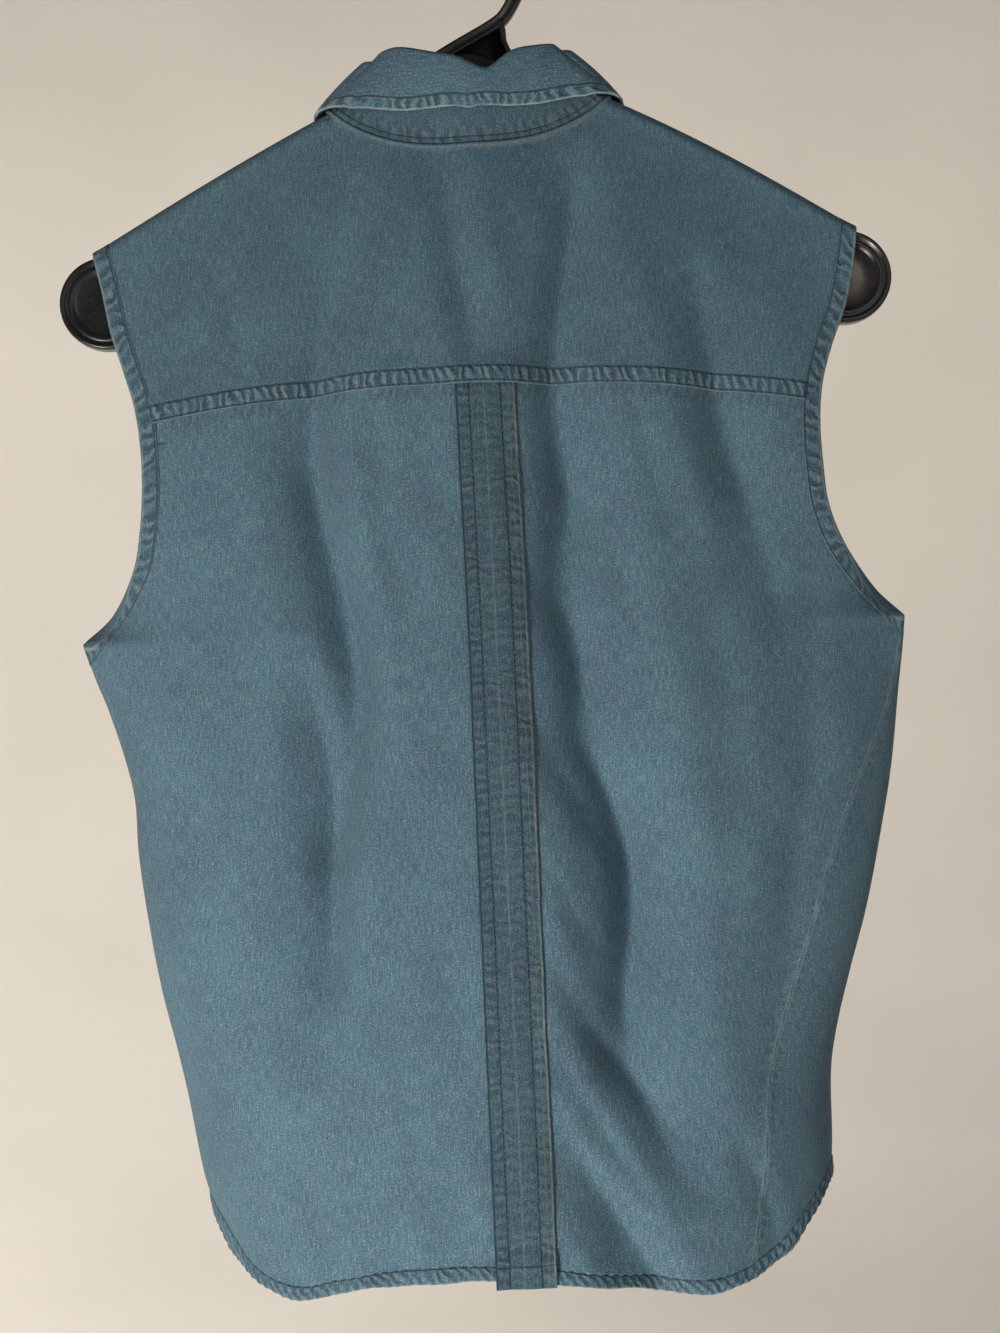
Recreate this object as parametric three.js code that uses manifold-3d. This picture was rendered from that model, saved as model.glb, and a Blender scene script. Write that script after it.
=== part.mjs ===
// A sleeveless denim shirt, buttoned and hanging on a plastic top hanger.
// Millimetres, +Z up. The origin is the inside top of the hanger's hook, where a rod bears.
// The back of the garment faces -Y and the buttoned front faces +Y.
import * as THREE from "three";
import { mergeVertices } from "three/addons/utils/BufferGeometryUtils.js";
import Module from "manifold-3d";

const wasm = await Module();
wasm.setup();

// Driving dimensions of the cloth
const clothWall = 1.3;
const turnedWall = 2.2; // an edge turned in twice and stitched
const seamGap = 0.3; // between the edges of two sewn pieces
const armholeBand = 10; // from the armhole's edge to its row of stitches
const hemBand = 8;
const pleatBand = 30; // the stitched box pleat down the back
const placketBand = 30;
const overlapStep = 2.4; // the under front lies this much deeper at the placket

// Driving dimensions of the hanger
const shoulderTop = -62.8; // where the two shoulder lines would meet
const shoulderSlope = 0.528;
const shoulderRound = 10;
const armBow = 1.5; // the hanger's arm rises this much in its middle
const clothBow = { "-1": 3, 1: 6 }; // and the cloth's shoulder line this much, left and right
const ridgeRadius = 8; // the cloth's own middle, where it turns over the arm
const armHalf = 6.3;
const armDeep = 25;
const discX = 204.8;
const discZ = -202.8;
const discRadius = 25.6;
const hookRadius = 31;
const hookBar = 7.6;
const hookDeep = 8.4;

// Heights of the cut
const armpitZ = -391.5;
const bandEndZ = -402.5; // where the armhole band's stitches meet the side seam
const yokeSeamMiddle = -259.5;
const yokeSeamDrop = 13;
const neckHalf = 78;
const neckBackDrop = 25.5;
const neckFrontDrop = 64;
const frontYoke = 35; // how far the yoke comes over the shoulder

// Half widths of the garment from its middle plane, at each height
const armholeEdge = [
  { z: -174.3, left: 211, right: 211.8 },
  { z: -197, left: 206, right: 208.5 },
  { z: -220, left: 201.5, right: 203 },
  { z: -241, left: 195, right: 194.5 },
  { z: -263, left: 188.5, right: 187.5 },
  { z: -285, left: 185.5, right: 185 },
  { z: -308, left: 185, right: 185.5 },
  { z: -330, left: 187, right: 188 },
  { z: -352, left: 192, right: 197 },
  { z: -374.5, left: 205, right: 213 },
  { z: -391.5, left: 223, right: 229.5 },
];
const sideEdge = [
  { z: -391.5, left: 223, right: 229.5 },
  { z: -408, left: 218.5, right: 228.5 },
  { z: -430, left: 211, right: 226 },
  { z: -474, left: 199, right: 220.5 },
  { z: -508, left: 198, right: 214 },
  { z: -552, left: 193, right: 204 },
  { z: -585, left: 187.5, right: 194 },
  { z: -619, left: 180, right: 184.5 },
  { z: -641, left: 175.5, right: 180.5 },
  { z: -685, left: 168, right: 180 },
  { z: -708, left: 161, right: 177 },
  { z: -735, left: 155, right: 173 },
];

// Depth of the hanging garment before its folds: at the middle and at the side edge of each face.
// fullness rounds the section, from a lens near 1 to an oval near 0.5.
const hang = [
  { z: -60, backMiddle: 26, backSide: 8, frontMiddle: 22, frontSide: 8, fullness: 0.9 },
  { z: -122, backMiddle: 30, backSide: 8, frontMiddle: 25, frontSide: 8, fullness: 0.9 },
  { z: -180, backMiddle: 35, backSide: 9, frontMiddle: 30, frontSide: 9, fullness: 0.9 },
  { z: -230, backMiddle: 38, backSide: 13, frontMiddle: 33, frontSide: 12, fullness: 0.85 },
  { z: -272, backMiddle: 42, backSide: 17, frontMiddle: 37, frontSide: 15, fullness: 0.85 },
  { z: -320, backMiddle: 46, backSide: 19, frontMiddle: 40, frontSide: 17, fullness: 0.8 },
  { z: -360, backMiddle: 50, backSide: 13, frontMiddle: 43, frontSide: 12, fullness: 0.8 },
  { z: -391.5, backMiddle: 54, backSide: 0, frontMiddle: 46, frontSide: 0, fullness: 0.75 },
  { z: -450, backMiddle: 60, backSide: 0, frontMiddle: 51, frontSide: 0, fullness: 0.65 },
  { z: -520, backMiddle: 66, backSide: 0, frontMiddle: 56, frontSide: 0, fullness: 0.58 },
  { z: -620, backMiddle: 73, backSide: 0, frontMiddle: 62, frontSide: 0, fullness: 0.55 },
  { z: -755, backMiddle: 80, backSide: 0, frontMiddle: 68, frontSide: 0, fullness: 0.52 },
];

// Folds as valleys: a line down the cloth with its depth, and how far each flank reaches.
const backFolds = [
  {
    left: 36, right: 26, // from the left neck point, over the yoke seam
    line: [
      { x: -72, z: -130, depth: 0 }, { x: -78, z: -175, depth: 4 }, { x: -83, z: -214, depth: 6 },
      { x: -91, z: -245, depth: 7.5 }, { x: -95, z: -285, depth: 8 }, { x: -88, z: -333, depth: 7 },
      { x: -73, z: -365, depth: 6.5 }, { x: -67, z: -400, depth: 6 }, { x: -70, z: -450, depth: 4.5 },
      { x: -78, z: -500, depth: 0 },
    ],
  },
  {
    left: 42, right: 24, // left of it, lower
    line: [
      { x: -114, z: -325, depth: 0 }, { x: -107, z: -376, depth: 4 }, { x: -99, z: -424, depth: 7 },
      { x: -90, z: -471, depth: 8 }, { x: -87, z: -513, depth: 8 }, { x: -93, z: -550, depth: 5 },
      { x: -112, z: -595, depth: 0 },
    ],
  },
  {
    left: 36, right: 46, // right of the pleat, the deepest
    line: [
      { x: 58, z: -130, depth: 0 }, { x: 48, z: -164, depth: 5 }, { x: 42, z: -205, depth: 7.5 },
      { x: 38, z: -240, depth: 8 }, { x: 43, z: -300, depth: 10.5 }, { x: 53, z: -355, depth: 12 },
      { x: 56, z: -420, depth: 12 }, { x: 67, z: -471, depth: 11 }, { x: 74, z: -510, depth: 10.5 },
      { x: 69, z: -545, depth: 10 }, { x: 67, z: -585, depth: 9 }, { x: 75, z: -620, depth: 7.5 },
      { x: 92, z: -672, depth: 5 }, { x: 108, z: -708, depth: 0 },
    ],
  },
  {
    left: 30, right: 34, // slanting out to the hem
    line: [
      { x: 24, z: -630, depth: 0 }, { x: 38, z: -668, depth: 5 }, { x: 58, z: -702, depth: 8 },
      { x: 79, z: -742, depth: 9 },
    ],
  },
  {
    left: 24, right: 32, // under the right shoulder blade
    line: [
      { x: 112, z: -180, depth: 0 }, { x: 122, z: -213, depth: 4 }, { x: 127, z: -255, depth: 6 },
      { x: 134, z: -286, depth: 8 }, { x: 143, z: -307, depth: 8.5 }, { x: 154, z: -330, depth: 8 },
      { x: 163, z: -358, depth: 6 }, { x: 172, z: -405, depth: 0 },
    ],
  },
  {
    left: 16, right: 18, // slight, in the middle of the yoke
    line: [
      { x: -20, z: -145, depth: 0 }, { x: -15, z: -185, depth: 2.5 }, { x: -11, z: -225, depth: 2.5 },
      { x: -10, z: -262, depth: 0 },
    ],
  },
];
const frontFolds = [
  {
    left: 30, right: 34,
    line: [
      { x: 84, z: -150, depth: 0 }, { x: 88, z: -210, depth: 5 }, { x: 92, z: -280, depth: 8 },
      { x: 84, z: -350, depth: 8 }, { x: 76, z: -430, depth: 7 }, { x: 82, z: -520, depth: 4 },
      { x: 90, z: -580, depth: 0 },
    ],
  },
  {
    left: 34, right: 30,
    line: [
      { x: -82, z: -150, depth: 0 }, { x: -90, z: -220, depth: 5 }, { x: -86, z: -300, depth: 8 },
      { x: -74, z: -380, depth: 9 }, { x: -70, z: -470, depth: 8 }, { x: -84, z: -560, depth: 6 },
      { x: -96, z: -650, depth: 0 },
    ],
  },
  {
    left: 32, right: 26,
    line: [
      { x: 128, z: -370, depth: 0 }, { x: 124, z: -440, depth: 6 }, { x: 116, z: -530, depth: 8 },
      { x: 112, z: -620, depth: 6 }, { x: 120, z: -700, depth: 0 },
    ],
  },
  {
    left: 28, right: 30,
    line: [
      { x: -140, z: -430, depth: 0 }, { x: -134, z: -520, depth: 6 }, { x: -128, z: -620, depth: 6 },
      { x: -124, z: -710, depth: 2 }, { x: -124, z: -745, depth: 0 },
    ],
  },
];

// The lower edge of each face, across from one side seam (-1) to the other (1)
const backHem = [
  { across: -1, z: -706 }, { across: -0.955, z: -720 }, { across: -0.9, z: -732 },
  { across: -0.84, z: -738 }, { across: -0.76, z: -741 }, { across: -0.68, z: -740.5 },
  { across: -0.58, z: -736.5 }, { across: -0.45, z: -732 }, { across: -0.28, z: -728.5 },
  { across: 0, z: -728 }, { across: 0.14, z: -731 }, { across: 0.34, z: -738 },
  { across: 0.5, z: -742 }, { across: 0.62, z: -743 }, { across: 0.71, z: -740.5 },
  { across: 0.78, z: -735.5 }, { across: 0.85, z: -728.5 }, { across: 0.92, z: -716 },
  { across: 0.97, z: -705.5 }, { across: 1, z: -698 },
];
const frontHem = [
  { across: -1, z: -706 }, { across: -0.95, z: -722 }, { across: -0.85, z: -734 },
  { across: -0.65, z: -741 }, { across: -0.4, z: -740 }, { across: -0.15, z: -735 },
  { across: 0, z: -733 }, { across: 0.15, z: -735 }, { across: 0.4, z: -740 },
  { across: 0.65, z: -742 }, { across: 0.84, z: -735 }, { across: 0.95, z: -719 },
  { across: 1, z: -698 },
];

// The collar round the neck: degrees from the middle of the back, how far it leans inwards for
// each millimetre it rises, its fold above the neck seam, and where the leaf's edge falls (across,
// path below the shoulder line, distance off the cloth).
const collarShape = [
  { turn: 0, lean: 0, fold: 48, edgeX: 0, edgePath: 46, edgeOff: 8 },
  { turn: 24, lean: 0.06, fold: 49, edgeX: 34, edgePath: 31.5, edgeOff: 7.5 },
  { turn: 46, lean: 0.34, fold: 44, edgeX: 61, edgePath: 14, edgeOff: 6 },
  { turn: 62, lean: 0.62, fold: 37, edgeX: 75, edgePath: 7, edgeOff: 4.5 },
  { turn: 78, lean: 0.9, fold: 34, edgeX: 82, edgePath: 2, edgeOff: 3.6 },
  { turn: 92, lean: 1.05, fold: 33, edgeX: 85, edgePath: -4, edgeOff: 3.2 },
  { turn: 110, lean: 0.8, fold: 31, edgeX: 88, edgePath: -17, edgeOff: 3.2 },
  { turn: 130, lean: 0.55, fold: 30, edgeX: 88, edgePath: -38, edgeOff: 3.2 },
  { turn: 150, lean: 0.35, fold: 29, edgeX: 80, edgePath: -66, edgeOff: 3.4 },
  { turn: 165, lean: 0.2, fold: 29, edgeX: 64, edgePath: -92, edgeOff: 3.8 },
  { turn: 175, lean: 0.15, fold: 29, edgeX: 46, edgePath: -108, edgeOff: 4.2 },
];
const standHeight = 28;
const leafEnd = 175; // degrees where the leaf stops, short of the middle of the front
const standEnd = 187; // the stand runs on past the middle to button over

const buttonRadius = 5.6;
const buttonThick = 2.4;
const buttonPitch = 76;
const buttonCount = 7;
const firstButton = -222;

// Reads one column of a table against another, on a smooth curve through its rows.
function reader(table, along, value) {
  const places = table.map((row) => row[along]);
  const values = table.map((row) => row[value]);
  const last = table.length - 1;
  const rise = values.map((_, i) => {
    const before = Math.max(i - 1, 0);
    const after = Math.min(i + 1, last);
    return (values[after] - values[before]) / (places[after] - places[before]);
  });
  const falling = places[0] > places[last];
  return (at) => {
    if (falling ? at >= places[0] : at <= places[0]) return values[0];
    if (falling ? at <= places[last] : at >= places[last]) return values[last];
    const next = places.findIndex((place) => (falling ? place <= at : place >= at));
    const i = next - 1;
    const span = places[next] - places[i];
    const t = (at - places[i]) / span;
    const ease = t * t * (3 - 2 * t);
    const startPull = t * (1 - t) * (1 - t) * span * rise[i];
    const endPull = t * t * (t - 1) * span * rise[next];
    return values[i] + ease * (values[next] - values[i]) + startPull + endPull;
  };
}

const mix = (a, b, t) => a + (b - a) * t;
const smooth = (t) => {
  const c = Math.min(Math.max(t, 0), 1);
  return c * c * (3 - 2 * c);
};
const steps = (count) => Array.from({ length: count + 1 }, (_, i) => i / count);

const armholeWidth = { "-1": reader(armholeEdge, "z", "left"), 1: reader(armholeEdge, "z", "right") };
const sideWidth = { "-1": reader(sideEdge, "z", "left"), 1: reader(sideEdge, "z", "right") };
const halfWidth = (z, side) => (z > armpitZ ? armholeWidth : sideWidth)[side](z);
const slopeZ = (x, bow) => {
  const along = Math.min(Math.max((Math.abs(x) - 20) / 185, 0), 1);
  return shoulderTop - shoulderSlope * Math.hypot(x, shoulderRound) + bow * Math.sin(Math.PI * along);
};
const shoulderZ = (x) => slopeZ(x, clothBow[x < 0 ? -1 : 1]);
const yokeSeamZ = (across) => yokeSeamMiddle - yokeSeamDrop * Math.abs(across) ** 2.2;

const depthAt = Object.fromEntries(Object.keys(hang[0]).map((key) => [key, reader(hang, "z", key)]));
const readFolds = (folds) =>
  folds.map(({ left, right, line }) => ({
    left,
    right,
    top: line[0].z,
    bottom: line.at(-1).z,
    x: reader(line, "z", "x"),
    depth: reader(line, "z", "depth"),
  }));
const foldsOf = { "-1": readFolds(frontFolds), 1: readFolds(backFolds) };

const creaseRound = 4;
function foldDepth(face, x, z) {
  let sum = 0;
  for (const fold of foldsOf[face]) {
    if (z > fold.top || z < fold.bottom) continue;
    const off = x - fold.x(z);
    const reach = (Math.hypot(off, creaseRound) - creaseRound) / (off < 0 ? fold.left : fold.right);
    if (reach < 1) sum += fold.depth(z) * (1 - reach) ** 1.6;
  }
  return sum;
}

// How far the hanging cloth stands off the middle plane. face is 1 for the back and -1 for the front.
function hangDepth(face, x, z) {
  const side = x < 0 ? -1 : 1;
  const across = Math.min(Math.abs(x) / halfWidth(z, side), 1);
  const middle = face > 0 ? depthAt.backMiddle(z) : depthAt.frontMiddle(z);
  const edge = face > 0 ? depthAt.backSide(z) : depthAt.frontSide(z);
  const bulge = (1 - across ** 2.2) ** depthAt.fullness(z);
  return edge + (middle - edge) * bulge - foldDepth(face, x, z) * (1 - across ** 6);
}

const quarterTurn = (ridgeRadius * Math.PI) / 2;
const dropOf = (path) =>
  Math.abs(path) < quarterTurn
    ? ridgeRadius * (1 - Math.cos(path / ridgeRadius))
    : ridgeRadius + Math.abs(path) - quarterTurn;
const pathOf = (drop) =>
  drop < ridgeRadius ? ridgeRadius * Math.acos(1 - Math.max(drop, 0) / ridgeRadius) : quarterTurn + drop - ridgeRadius;

// A point of the cloth's middle: x across, and the path down from the shoulder line,
// positive down the back and negative down the front.
const fallLength = 60;
function clothPoint(x, path) {
  const face = path < 0 ? -1 : 1;
  const drop = dropOf(path);
  const z = shoulderZ(x) - drop;
  const over = Math.abs(path) < quarterTurn ? ridgeRadius * Math.sin(Math.abs(path) / ridgeRadius) : ridgeRadius;
  const settled = 1 - Math.exp(-((Math.max(drop - ridgeRadius, 0) / fallLength) ** 1.5));
  const depth = over + (hangDepth(face, x, z) - ridgeRadius) * settled + seamGap / 2;
  return new THREE.Vector3(x, -face * depth, z);
}

function clothNormal(x, path) {
  const step = 0.4;
  const acrossStep = clothPoint(x + step, path).sub(clothPoint(x - step, path));
  const downStep = clothPoint(x, path + step).sub(clothPoint(x, path - step));
  return downStep.cross(acrossStep).normalize();
}

const clothSpot = (x, path) => ({ point: clothPoint(x, path), normal: clothNormal(x, path), x, path });
const clothAt = (face, x, z) => clothSpot(x, face * pathOf(shoulderZ(x) - z));
const sideSpot = (face, side, z) => ({
  point: new THREE.Vector3(side * halfWidth(z, side), (-face * seamGap) / 2, z),
  normal: new THREE.Vector3(side, 0, 0),
});
const movedOut = ({ point, normal }, distance) => point.clone().addScaledVector(normal, distance);

// The armhole's edge in the x-z plane with the line of its stitches, matched point to point.
const armholeScoop = 5; // the front armhole is cut this much deeper
function armholePairs(face, side) {
  const outer = steps(80).map((t) => {
    const z = mix(armholeEdge[0].z, armpitZ, t);
    const scoop = face < 0 ? armholeScoop * Math.sin(Math.PI * t) : 0;
    return new THREE.Vector2(side * (armholeWidth[side](z) - scoop), z);
  });
  const alongShoulder = new THREE.Vector2(-side, shoulderSlope).normalize();
  const seamEnd = new THREE.Vector2(side * halfWidth(bandEndZ, side), bandEndZ);
  return outer.map((edge, i) => {
    const before = outer[Math.max(i - 1, 0)];
    const after = outer[Math.min(i + 1, outer.length - 1)];
    const along = after.clone().sub(before).normalize();
    const inward = new THREE.Vector2(along.y, -along.x).multiplyScalar(side);
    inward.lerp(alongShoulder, 1 - smooth(i / 12)).normalize();
    const stitch = edge.clone().addScaledVector(inward, armholeBand);
    return { edge, stitch: stitch.lerp(seamEnd, smooth((i - 64) / 16)) };
  });
}

function armhole(face, side) {
  const rows = armholePairs(face, side).map(({ edge, stitch }) => ({
    edgeX: edge.x, edgeZ: edge.y, x: stitch.x, z: stitch.y,
  }));
  const read = (key) => reader(rows, "z", key);
  return { top: rows[0].z, x: read("x"), edgeX: read("edgeX"), edgeZ: read("edgeZ") };
}
const armholes = {
  1: { "-1": armhole(1, -1), 1: armhole(1, 1) },
  "-1": { "-1": armhole(-1, -1), 1: armhole(-1, 1) },
};
const panelEdgeX = (face, side, z) => (z > bandEndZ ? armholes[face][side].x(z) : side * halfWidth(z, side));

// A closed body from points and triangles, turned so that it faces out.
function body(points, triangles) {
  const volume = triangles.reduce((sum, [a, b, c]) => {
    const corner = points[b].clone().cross(points[c]);
    return sum + points[a].dot(corner);
  }, 0);
  const index = triangles.flatMap(([a, b, c]) => (volume < 0 ? [a, c, b] : [a, b, c]));
  const geometry = new THREE.BufferGeometry().setFromPoints(points).setIndex(index);
  geometry.computeVertexNormals();
  return geometry;
}

const square = (points, a, b, c, d) =>
  points[a].distanceTo(points[c]) < points[b].distanceTo(points[d])
    ? [[a, b, c], [a, c, d]]
    : [[a, b, d], [b, c, d]];

// A wall of cloth from rows of spots. A missing spot leaves its cells out.
function wall(rows, outward, inward) {
  const points = [];
  const place = rows.map((row) =>
    row.map((spot) => {
      if (!spot) return null;
      points.push(movedOut(spot, outward), movedOut(spot, -inward));
      return points.length - 2;
    }),
  );
  const triangles = [];
  const edges = new Map();
  for (let j = 0; j + 1 < rows.length; j++) {
    for (let i = 0; i + 1 < rows[j].length; i++) {
      const cell = [place[j][i], place[j][i + 1], place[j + 1][i + 1], place[j + 1][i]];
      if (cell.includes(null)) continue;
      const [a, b, c, d] = cell;
      triangles.push(...square(points, a, b, c, d));
      triangles.push(...square(points, a + 1, b + 1, c + 1, d + 1).map(([p, q, r]) => [p, r, q]));
      cell.forEach((from, k) => {
        const to = cell[(k + 1) % 4];
        const key = Math.min(from, to) + "_" + Math.max(from, to);
        if (edges.has(key)) edges.delete(key);
        else edges.set(key, [from, to]);
      });
    }
  }
  for (const [from, to] of edges.values()) triangles.push(...square(points, to, from, from + 1, to + 1));
  return body(points, triangles);
}

// A solid bar through rings with the same number of points, its two ends closed.
function bar(rings) {
  const points = rings.flat();
  const around = rings[0].length;
  const triangles = [];
  for (let j = 0; j + 1 < rings.length; j++) {
    for (let i = 0; i < around; i++) {
      const next = (i + 1) % around;
      const [a, b, c, d] = [j * around + i, j * around + next, (j + 1) * around + next, (j + 1) * around + i];
      triangles.push(...square(points, a, b, c, d));
    }
  }
  const end = (rings.length - 1) * around;
  for (let i = 1; i + 1 < around; i++) {
    triangles.push([0, i + 1, i], [end, end + i, end + i + 1]);
  }
  return body(points, triangles);
}

// A spot of a panel: t runs across it and v from its top to its bottom.
function panelSpot(t, v, { acrossX, topZ, bottomZ }) {
  let x = acrossX(t, armpitZ);
  let z = armpitZ;
  for (let turn = 0; turn < 30; turn++) {
    z = mix(topZ(x, t), bottomZ(t), v);
    x = mix(x, acrossX(t, z), 0.6);
  }
  return { x, z };
}

// Columns lie closer together at the sides, where the section turns.
const crowd = (t) => mix(t, (1 - Math.cos(Math.PI * t)) / 2, 0.55);
const crowdEnd = (t) => mix(t, Math.sin((Math.PI * t) / 2), 0.5);

const armholeRows = 11;
const lowerRows = 14;
// Heights of the rows as shares of the side edge, with one row where the armhole band ends
function rowShares(topZ, bottomZ) {
  const band = steps(armholeRows).map((t) => mix(topZ, bandEndZ, t));
  const lower = steps(lowerRows).slice(1).map((t) => mix(bandEndZ, bottomZ, t));
  return [...band, ...lower].map((z) => (z - topZ) / (bottomZ - topZ));
}

const hemLift = { 1: reader(backHem, "across", "z"), "-1": reader(frontHem, "across", "z") };
// The hem's band is as wide across its slope as it is at the middle.
function hemTopZ(face, across) {
  const near = 0.01;
  const slope = (hemLift[face](across + near) - hemLift[face](across - near)) / (2 * near * 165);
  return hemLift[face](across) + hemBand * Math.min(Math.hypot(1, slope), 1.9);
}

// The corner points at the armholes are shared with the band, so they are kept.
const edgePoints = { 1: { "-1": [], 1: [] }, "-1": { "-1": [], 1: [] } };
function keepEdge(face, side, x, z) {
  if (z >= bandEndZ - 0.01) edgePoints[face][side].push({ x, z });
}

const backColumns = 32;
function backPanel() {
  const outline = {
    acrossX: (t, z) => mix(panelEdgeX(1, -1, z), panelEdgeX(1, 1, z), t),
    topZ: (x, t) => yokeSeamZ(2 * t - 1) - seamGap / 2,
    bottomZ: (t) => hemTopZ(1, 2 * t - 1) + seamGap,
  };
  const shares = rowShares(outline.topZ(0, 0), outline.bottomZ(0));
  return shares.map((v) =>
    steps(backColumns).map((k) => {
      const t = crowd(k);
      const { x, z } = panelSpot(t, v, outline);
      const side = t < 0.5 ? -1 : 1;
      const atSide = t === 0 || t === 1;
      if (atSide) keepEdge(1, side, x, z);
      const spot = atSide && z < bandEndZ + 0.5 ? sideSpot(1, side, z) : clothAt(1, x, z);
      return { ...spot, across: 2 * t - 1 };
    }),
  );
}

const neckCornerZ = (x) => mix(shoulderZ(-neckHalf), shoulderZ(neckHalf), smooth((x / neckHalf + 1) / 2));
const neckFrontX = (side, z) => {
  const down = Math.min(Math.max((neckCornerZ(side * neckHalf) - z) / neckFrontDrop, 0), 1);
  return neckHalf * Math.sqrt(1 - down * down);
};
const neckFrontZ = (x) => neckCornerZ(x) - neckFrontDrop * Math.sqrt(1 - Math.min(Math.abs(x) / neckHalf, 1) ** 2);
const neckBackZ = (x) => neckCornerZ(x) - neckBackDrop * (1 - Math.min(Math.abs(x) / neckHalf, 1) ** 2.6);

const frontColumns = 11; // from the placket to the side seam; two more lie under the placket
// side is -1 for the front that lies on top at the placket, 1 for the one under it.
function frontPanel(side) {
  const yokeFrontZ = (x) => shoulderZ(x) - dropOf(-frontYoke);
  const placketX = side * (placketBand / 2 + 2 * seamGap);
  const shareAt = (t) => side * mix(Math.abs(placketX) / 165, 1, t);
  const outline = {
    acrossX: (t, z) => (t < 0 ? placketX + side * t * placketBand : mix(placketX, panelEdgeX(-1, side, z), t)),
    topZ: (x) => Math.min(neckFrontZ(x), yokeFrontZ(x)) - seamGap,
    bottomZ: (t) => hemTopZ(-1, shareAt(t)) + seamGap,
  };
  const edgeTop = outline.topZ(panelEdgeX(-1, side, -200));
  const shares = rowShares(edgeTop, outline.bottomZ(1));
  return shares.map((v) =>
    [-1, -0.5, ...steps(frontColumns)].map((k) => {
      const t = k < 0 ? k : crowdEnd(k);
      const { x, z } = panelSpot(t, v, outline);
      if (t === 1) keepEdge(-1, side, x, z);
      const spot = t === 1 && z < bandEndZ + 0.5 ? sideSpot(-1, side, z) : clothAt(-1, x, z);
      const under = side > 0 ? overlapStep * smooth((placketBand * 1.2 - x) / placketBand) : 0;
      spot.point.addScaledVector(spot.normal, -under);
      return { ...spot, across: shareAt(t), under };
    }),
  );
}

// The yoke: over the shoulders it reaches the front seam, and between them it stops at the neck.
const ridgeSteps = [0, 1, 2, 3].map((k) => (k * quarterTurn) / 3);
const frontPaths = [-frontYoke, -(frontYoke + quarterTurn) / 2, ...ridgeSteps.slice(1).reverse().map((p) => -p)];
const yokeRows = 8;
function yokePanel() {
  const armColumns = steps(6).map((t) => 1 - t);
  const shoulderNeck = neckHalf / Math.abs(armholes[1][1].x(armholes[1][1].top));
  const acrossOf = [
    ...armColumns.map((t) => -mix(shoulderNeck, 1, t)),
    ...steps(12).slice(1, -1).map((t) => -shoulderNeck * Math.cos(Math.PI * t)),
    ...armColumns.toReversed().map((t) => mix(shoulderNeck, 1, t)),
  ];
  const inNeck = (across) => Math.abs(across) < shoulderNeck - 1e-6;
  // The side edge of a row, found where the armhole's stitch line meets the row's path.
  const edgeOf = (side, path) => {
    const face = path < 0 ? -1 : 1;
    let x = panelEdgeX(face, side, armholes[face][side].top);
    for (let turn = 0; turn < 30; turn++) x = mix(x, panelEdgeX(face, side, shoulderZ(x) - dropOf(path)), 0.6);
    return x;
  };
  const seamPath = (x, across) => pathOf(shoulderZ(x) - yokeSeamZ(across) - seamGap / 2);
  const spotsOfRow = (pathFor, isFront) =>
    acrossOf.map((across) => {
      if (isFront && inNeck(across)) return null;
      const side = across < 0 ? -1 : 1;
      const edge = edgeOf(side, pathFor(1, side * 200, side));
      let x = Math.abs(across) * edge;
      if (isFront) {
        const path = pathFor();
        let neckX = neckHalf;
        for (let turn = 0; turn < 20; turn++) neckX = neckFrontX(side, shoulderZ(side * neckX) - dropOf(path));
        x = side * mix(neckX, Math.abs(edge), (Math.abs(across) - shoulderNeck) / (1 - shoulderNeck));
      }
      const path = pathFor(across, x, side);
      if (Math.abs(across) === 1) keepEdge(isFront ? -1 : 1, side, x, shoulderZ(x) - dropOf(path));
      return clothSpot(x, path);
    });
  const front = frontPaths.map((path) => spotsOfRow(() => path, true));
  const back = [...ridgeSteps, ...steps(yokeRows).slice(1)].map((value, j) =>
    spotsOfRow((across, x) => {
      const top = inNeck(across) ? pathOf(shoulderZ(x) - neckBackZ(x)) : 0;
      if (j < ridgeSteps.length) return top + value;
      return mix(top + quarterTurn, seamPath(x, across), value);
    }, false),
  );
  return [...front, ...back];
}

// The turned armhole edge, from the back's armpit over the shoulder to the front's. At each armpit
// its end lies along the side seam.
function armholeEdgeRows(side) {
  const along = (face) => {
    const read = armholes[face][side];
    const inner = edgePoints[face][side].filter(({ z }) => z > bandEndZ + 2).toSorted((a, b) => a.z - b.z);
    const rows = inner.map(({ x, z }) =>
      [0, 0.5, 1].map((t) => {
        const px = mix(x + side * (seamGap + 0.1), read.edgeX(z), t);
        return clothAt(face, px, Math.min(mix(z, read.edgeZ(z), t), shoulderZ(px)));
      }));
    const corner = [0, 0.5, 1].map((t) => sideSpot(face, side, mix(bandEndZ + seamGap, armpitZ, t)));
    return [corner, ...rows];
  };
  return [...along(1), ...along(-1).toReversed()];
}

// The narrow hem is a soft roll hung from a panel's lowest row, puckered by its stitches.
const hemThick = 3.2;
function hemRoll(face, edgeRow) {
  const beads = edgeRow.map(({ point, normal, across }) => {
    const side = across < 0 ? -1 : 1;
    const low = hemLift[face](across);
    const x = across * halfWidth(low, side);
    const end = Math.abs(across) > 0.9999 ? sideSpot(face, side, low) : clothAt(face, x, low);
    return { point, normal, drop: end.point.sub(point) };
  });
  const between = (a, b) => ({
    point: a.point.clone().lerp(b.point, 0.5),
    normal: a.normal.clone().lerp(b.normal, 0.5).normalize(),
    drop: a.drop.clone().lerp(b.drop, 0.5),
  });
  const rings = beads.flatMap((bead, i) => (i ? [between(beads[i - 1], bead), bead] : [bead]));
  const profile = [
    { down: 0, off: 0.4 }, { down: 0.5, off: 1 }, { down: 1, off: 0.5 },
    { down: 1, off: -0.5 }, { down: 0.5, off: -1 }, { down: 0, off: -0.4 },
  ];
  return rings.map(({ point, normal, drop }, k) => {
    const pucker = k % 2 ? 0.5 : -0.4;
    const gap = drop.clone().setLength(seamGap);
    return profile.map(({ down, off }) =>
      point.clone().add(gap).addScaledVector(drop, down).addScaledVector(normal, (off * hemThick) / 2 + pucker * down));
  });
}

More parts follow.
